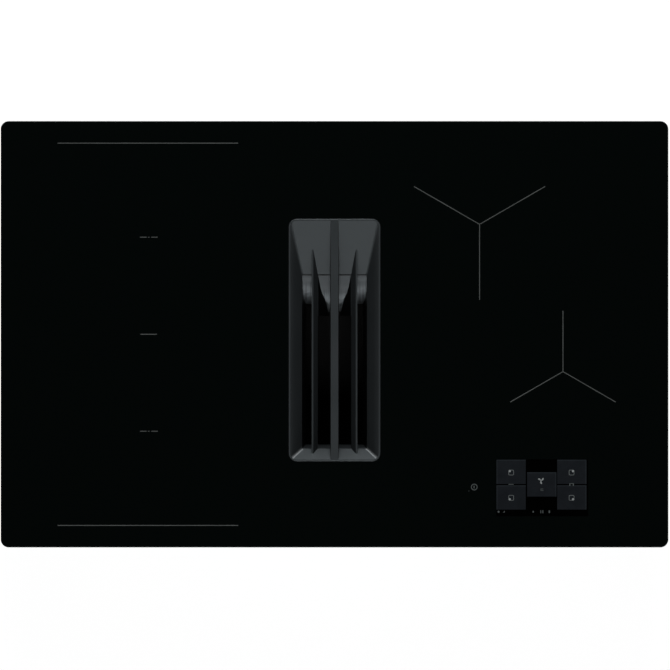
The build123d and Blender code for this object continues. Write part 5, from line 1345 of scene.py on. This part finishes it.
@dataclass
class SplitShadowLine:
    """Dark rubber strip on the casing's scoop, under the edge of the grille's ramp: a painted shadow line at
    the split.
    """

    width: float = 1.0
    thickness: float = 0.25
    half: float = 40.0
    y: float = 73.75
    level: float = -9.6

    def build(self) -> None:
        """Lay the dark strip, the painted shadow line, across all lanes."""
        shadow_line = Mesh("scoop_shadow_line")
        outline = rectangle(0.0, self.y, 2 * self.half, self.width)
        shadow_line.slab(outline, self.level - self.thickness, self.level + self.thickness)
        shadow_line.piece(EPDM, "filter_unit")


# ---------------------------------------------------------------- studio


@dataclass
class Studio:
    """Plain white studio: floor, soft sky, three soft lamps and a long lens straight above.

    A lamp is its name, its height as an angle in degrees, its power in watts and its side. The sky's
    colours go by height, 0 at the horizon and 1 overhead, and side_rise is where its sides get dim. The
    camera's centre, frame width and sensor are in millimetres, the other lengths in metres.
    """

    floor_size: float = 60.0
    floor_glow: float = 0.9
    floor_shade: str = "#898989"
    sky_colours: tuple[tuple[float, str], ...] = (
        (0.08, "#ffffff"), (0.25, "#c8c8c8"), (0.55, "#b4b4b4"), (0.86, "#1c1c1c"), (0.93, "#0a0b0b"))
    side_dim: float = 0.92
    side_rise: tuple[float, float] = (0.03, 0.2)
    lamp_distance: float = 2.4
    lamp_size: Point = (1.1, 0.8)
    lamps: tuple[tuple[str, float, float, int], ...] = (
        ("lamp_front", 58.0, 6.0, -1), ("lamp_front_low", 14.0, 17.0, -1), ("lamp_rear_low", 26.0, 34.0, 1))
    camera_height: float = 8.0
    camera_centre: Point = (0.6, -0.9)
    frame_width: float = 833.5
    sensor: float = 36.0
    clip: tuple[float, float] = (0.1, 100.0)

    def floor(self, level: float) -> None:
        """Lay the floor under the object.

        Args:
            level: its height in metres.
        """
        half = self.floor_size / 2
        data = bpy.data.meshes.new("floor")
        corners = [(-half, -half, level), (half, -half, level), (half, half, level), (-half, half, level)]
        data.from_pydata(corners, [], [(0, 1, 2, 3)])
        data.materials.append(self.card())
        floor = put_in_scene("floor", data)
        floor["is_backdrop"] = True

    def card(self) -> bpy.types.Material:
        """Make the floor's material: white card that looks white and keeps the object's shadow.

        Returns:
            The material.
        """
        material = FLOOR_CARD.material()
        tree = material.node_tree
        seen = self.seen_ray(tree)
        matt = add_node(tree, "BsdfDiffuse", {"Color": linear(FLOOR_CARD.colour)})
        shade = add_node(tree, "BsdfDiffuse", {"Color": linear(self.floor_shade)})
        glow = add_node(tree, "Emission", {"Strength": self.floor_glow})
        bright = add_node(tree, "AddShader", {0: shade, 1: glow})
        both = add_node(tree, "MixShader", {0: seen, 1: matt, 2: bright})
        tree.links.new(output(both), tree.nodes["Material Output"].inputs["Surface"])
        return material

    def seen_ray(self, tree: bpy.types.NodeTree) -> bpy.types.Node:
        """Tell rays that show a background, straight, mirrored or through glass, from rays of light.

        Args:
            tree: the node tree that asks.

        Returns:
            A node whose value is 1 for such a ray.
        """
        path = add_node(tree, "LightPath")
        first = add_node(tree, "Math", {0: path.outputs["Is Camera Ray"], 1: path.outputs["Is Glossy Ray"]},
                         operation="ADD")
        return add_node(tree, "Math", {0: first, 1: path.outputs["Is Transmission Ray"]},
                        operation="ADD", use_clamp=True)

    def sky(self) -> None:
        """Set up the sky: white at the horizon, dark overhead, and dimmer half way up at both sides."""
        world = bpy.data.worlds.new("studio")
        bpy.context.scene.world = world
        world.use_nodes = True
        tree = world.node_tree
        place = add_node(tree, "TexCoord")
        axes = add_node(tree, "SeparateXYZ", {0: place.outputs["Generated"]})
        ramp = add_node(tree, "ValToRGB", {0: axes.outputs["Z"]})
        set_stops(ramp, self.sky_colours)
        side = add_node(tree, "Math", {0: axes.outputs["X"], 1: 2.0}, operation="POWER")
        rise = add_node(tree, "MapRange", {0: axes.outputs["Z"], "From Min": self.side_rise[0],
                                           "From Max": self.side_rise[1], "To Max": self.side_dim})
        share = add_node(tree, "Math", {0: side, 1: rise}, operation="MULTIPLY")
        level = add_node(tree, "Math", {0: 1.0, 1: share}, operation="SUBTRACT")
        dimmed = add_node(tree, "VectorMath", {0: ramp, "Scale": level}, operation="SCALE")
        tree.links.new(output(dimmed), tree.nodes["Background"].inputs["Color"])

    def lamp(self, name: str, elevation: float, energy: float, side: int) -> None:
        """Hang one soft lamp in front of or behind the object.

        Args:
            name: the lamp's name.
            elevation: its height as an angle in degrees.
            energy: its power in watts.
            side: -1 in front, 1 behind.
        """
        data = bpy.data.lights.new(name, "AREA")
        data.shape = "RECTANGLE"
        data.size, data.size_y = self.lamp_size
        data.energy = energy
        lamp = put_in_scene(name, data)
        angle = math.radians(elevation)
        place = Vector((0.0, side * math.cos(angle), math.sin(angle))) * self.lamp_distance
        lamp.matrix_world = Matrix.Translation(place) @ (-place).to_track_quat("-Z", "Y").to_matrix().to_4x4()
        lamp.visible_camera = False

    def camera(self) -> None:
        """Hang the camera straight above the glass, square to it."""
        data = bpy.data.cameras.new("camera")
        data.sensor_width = self.sensor
        data.lens = self.sensor * self.camera_height / (self.frame_width * METRES)
        data.clip_start, data.clip_end = self.clip
        camera = put_in_scene("camera", data)
        camera.location = (*(METRES * side for side in self.camera_centre), self.camera_height)
        bpy.context.scene.camera = camera

    def build(self, level: float) -> None:
        """Set up the whole studio.

        Args:
            level: height of the floor in metres.
        """
        bpy.context.scene.view_settings.view_transform = "Standard"
        self.floor(level)
        self.sky()
        for lamp in self.lamps:
            self.lamp(*lamp)
        self.camera()


def main() -> None:
    """Load the frame, dress it, print the glass and set up the studio."""
    logging.basicConfig(level=logging.INFO, format="%(name)s: %(message)s")
    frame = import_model()
    frame_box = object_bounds()
    glass_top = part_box("glass_top")[1].z / METRES
    Dressing().build(frame["nodes"])
    DriverRecesses().build(frame["nodes"]["housing_screws"], "hob")
    SplitShadowLine().build()
    ZoneMarks(glass_top).build()
    TouchPanel(glass_top).build()
    Studio().build(frame_box[0].z)


if __name__ == "__main__":
    main()
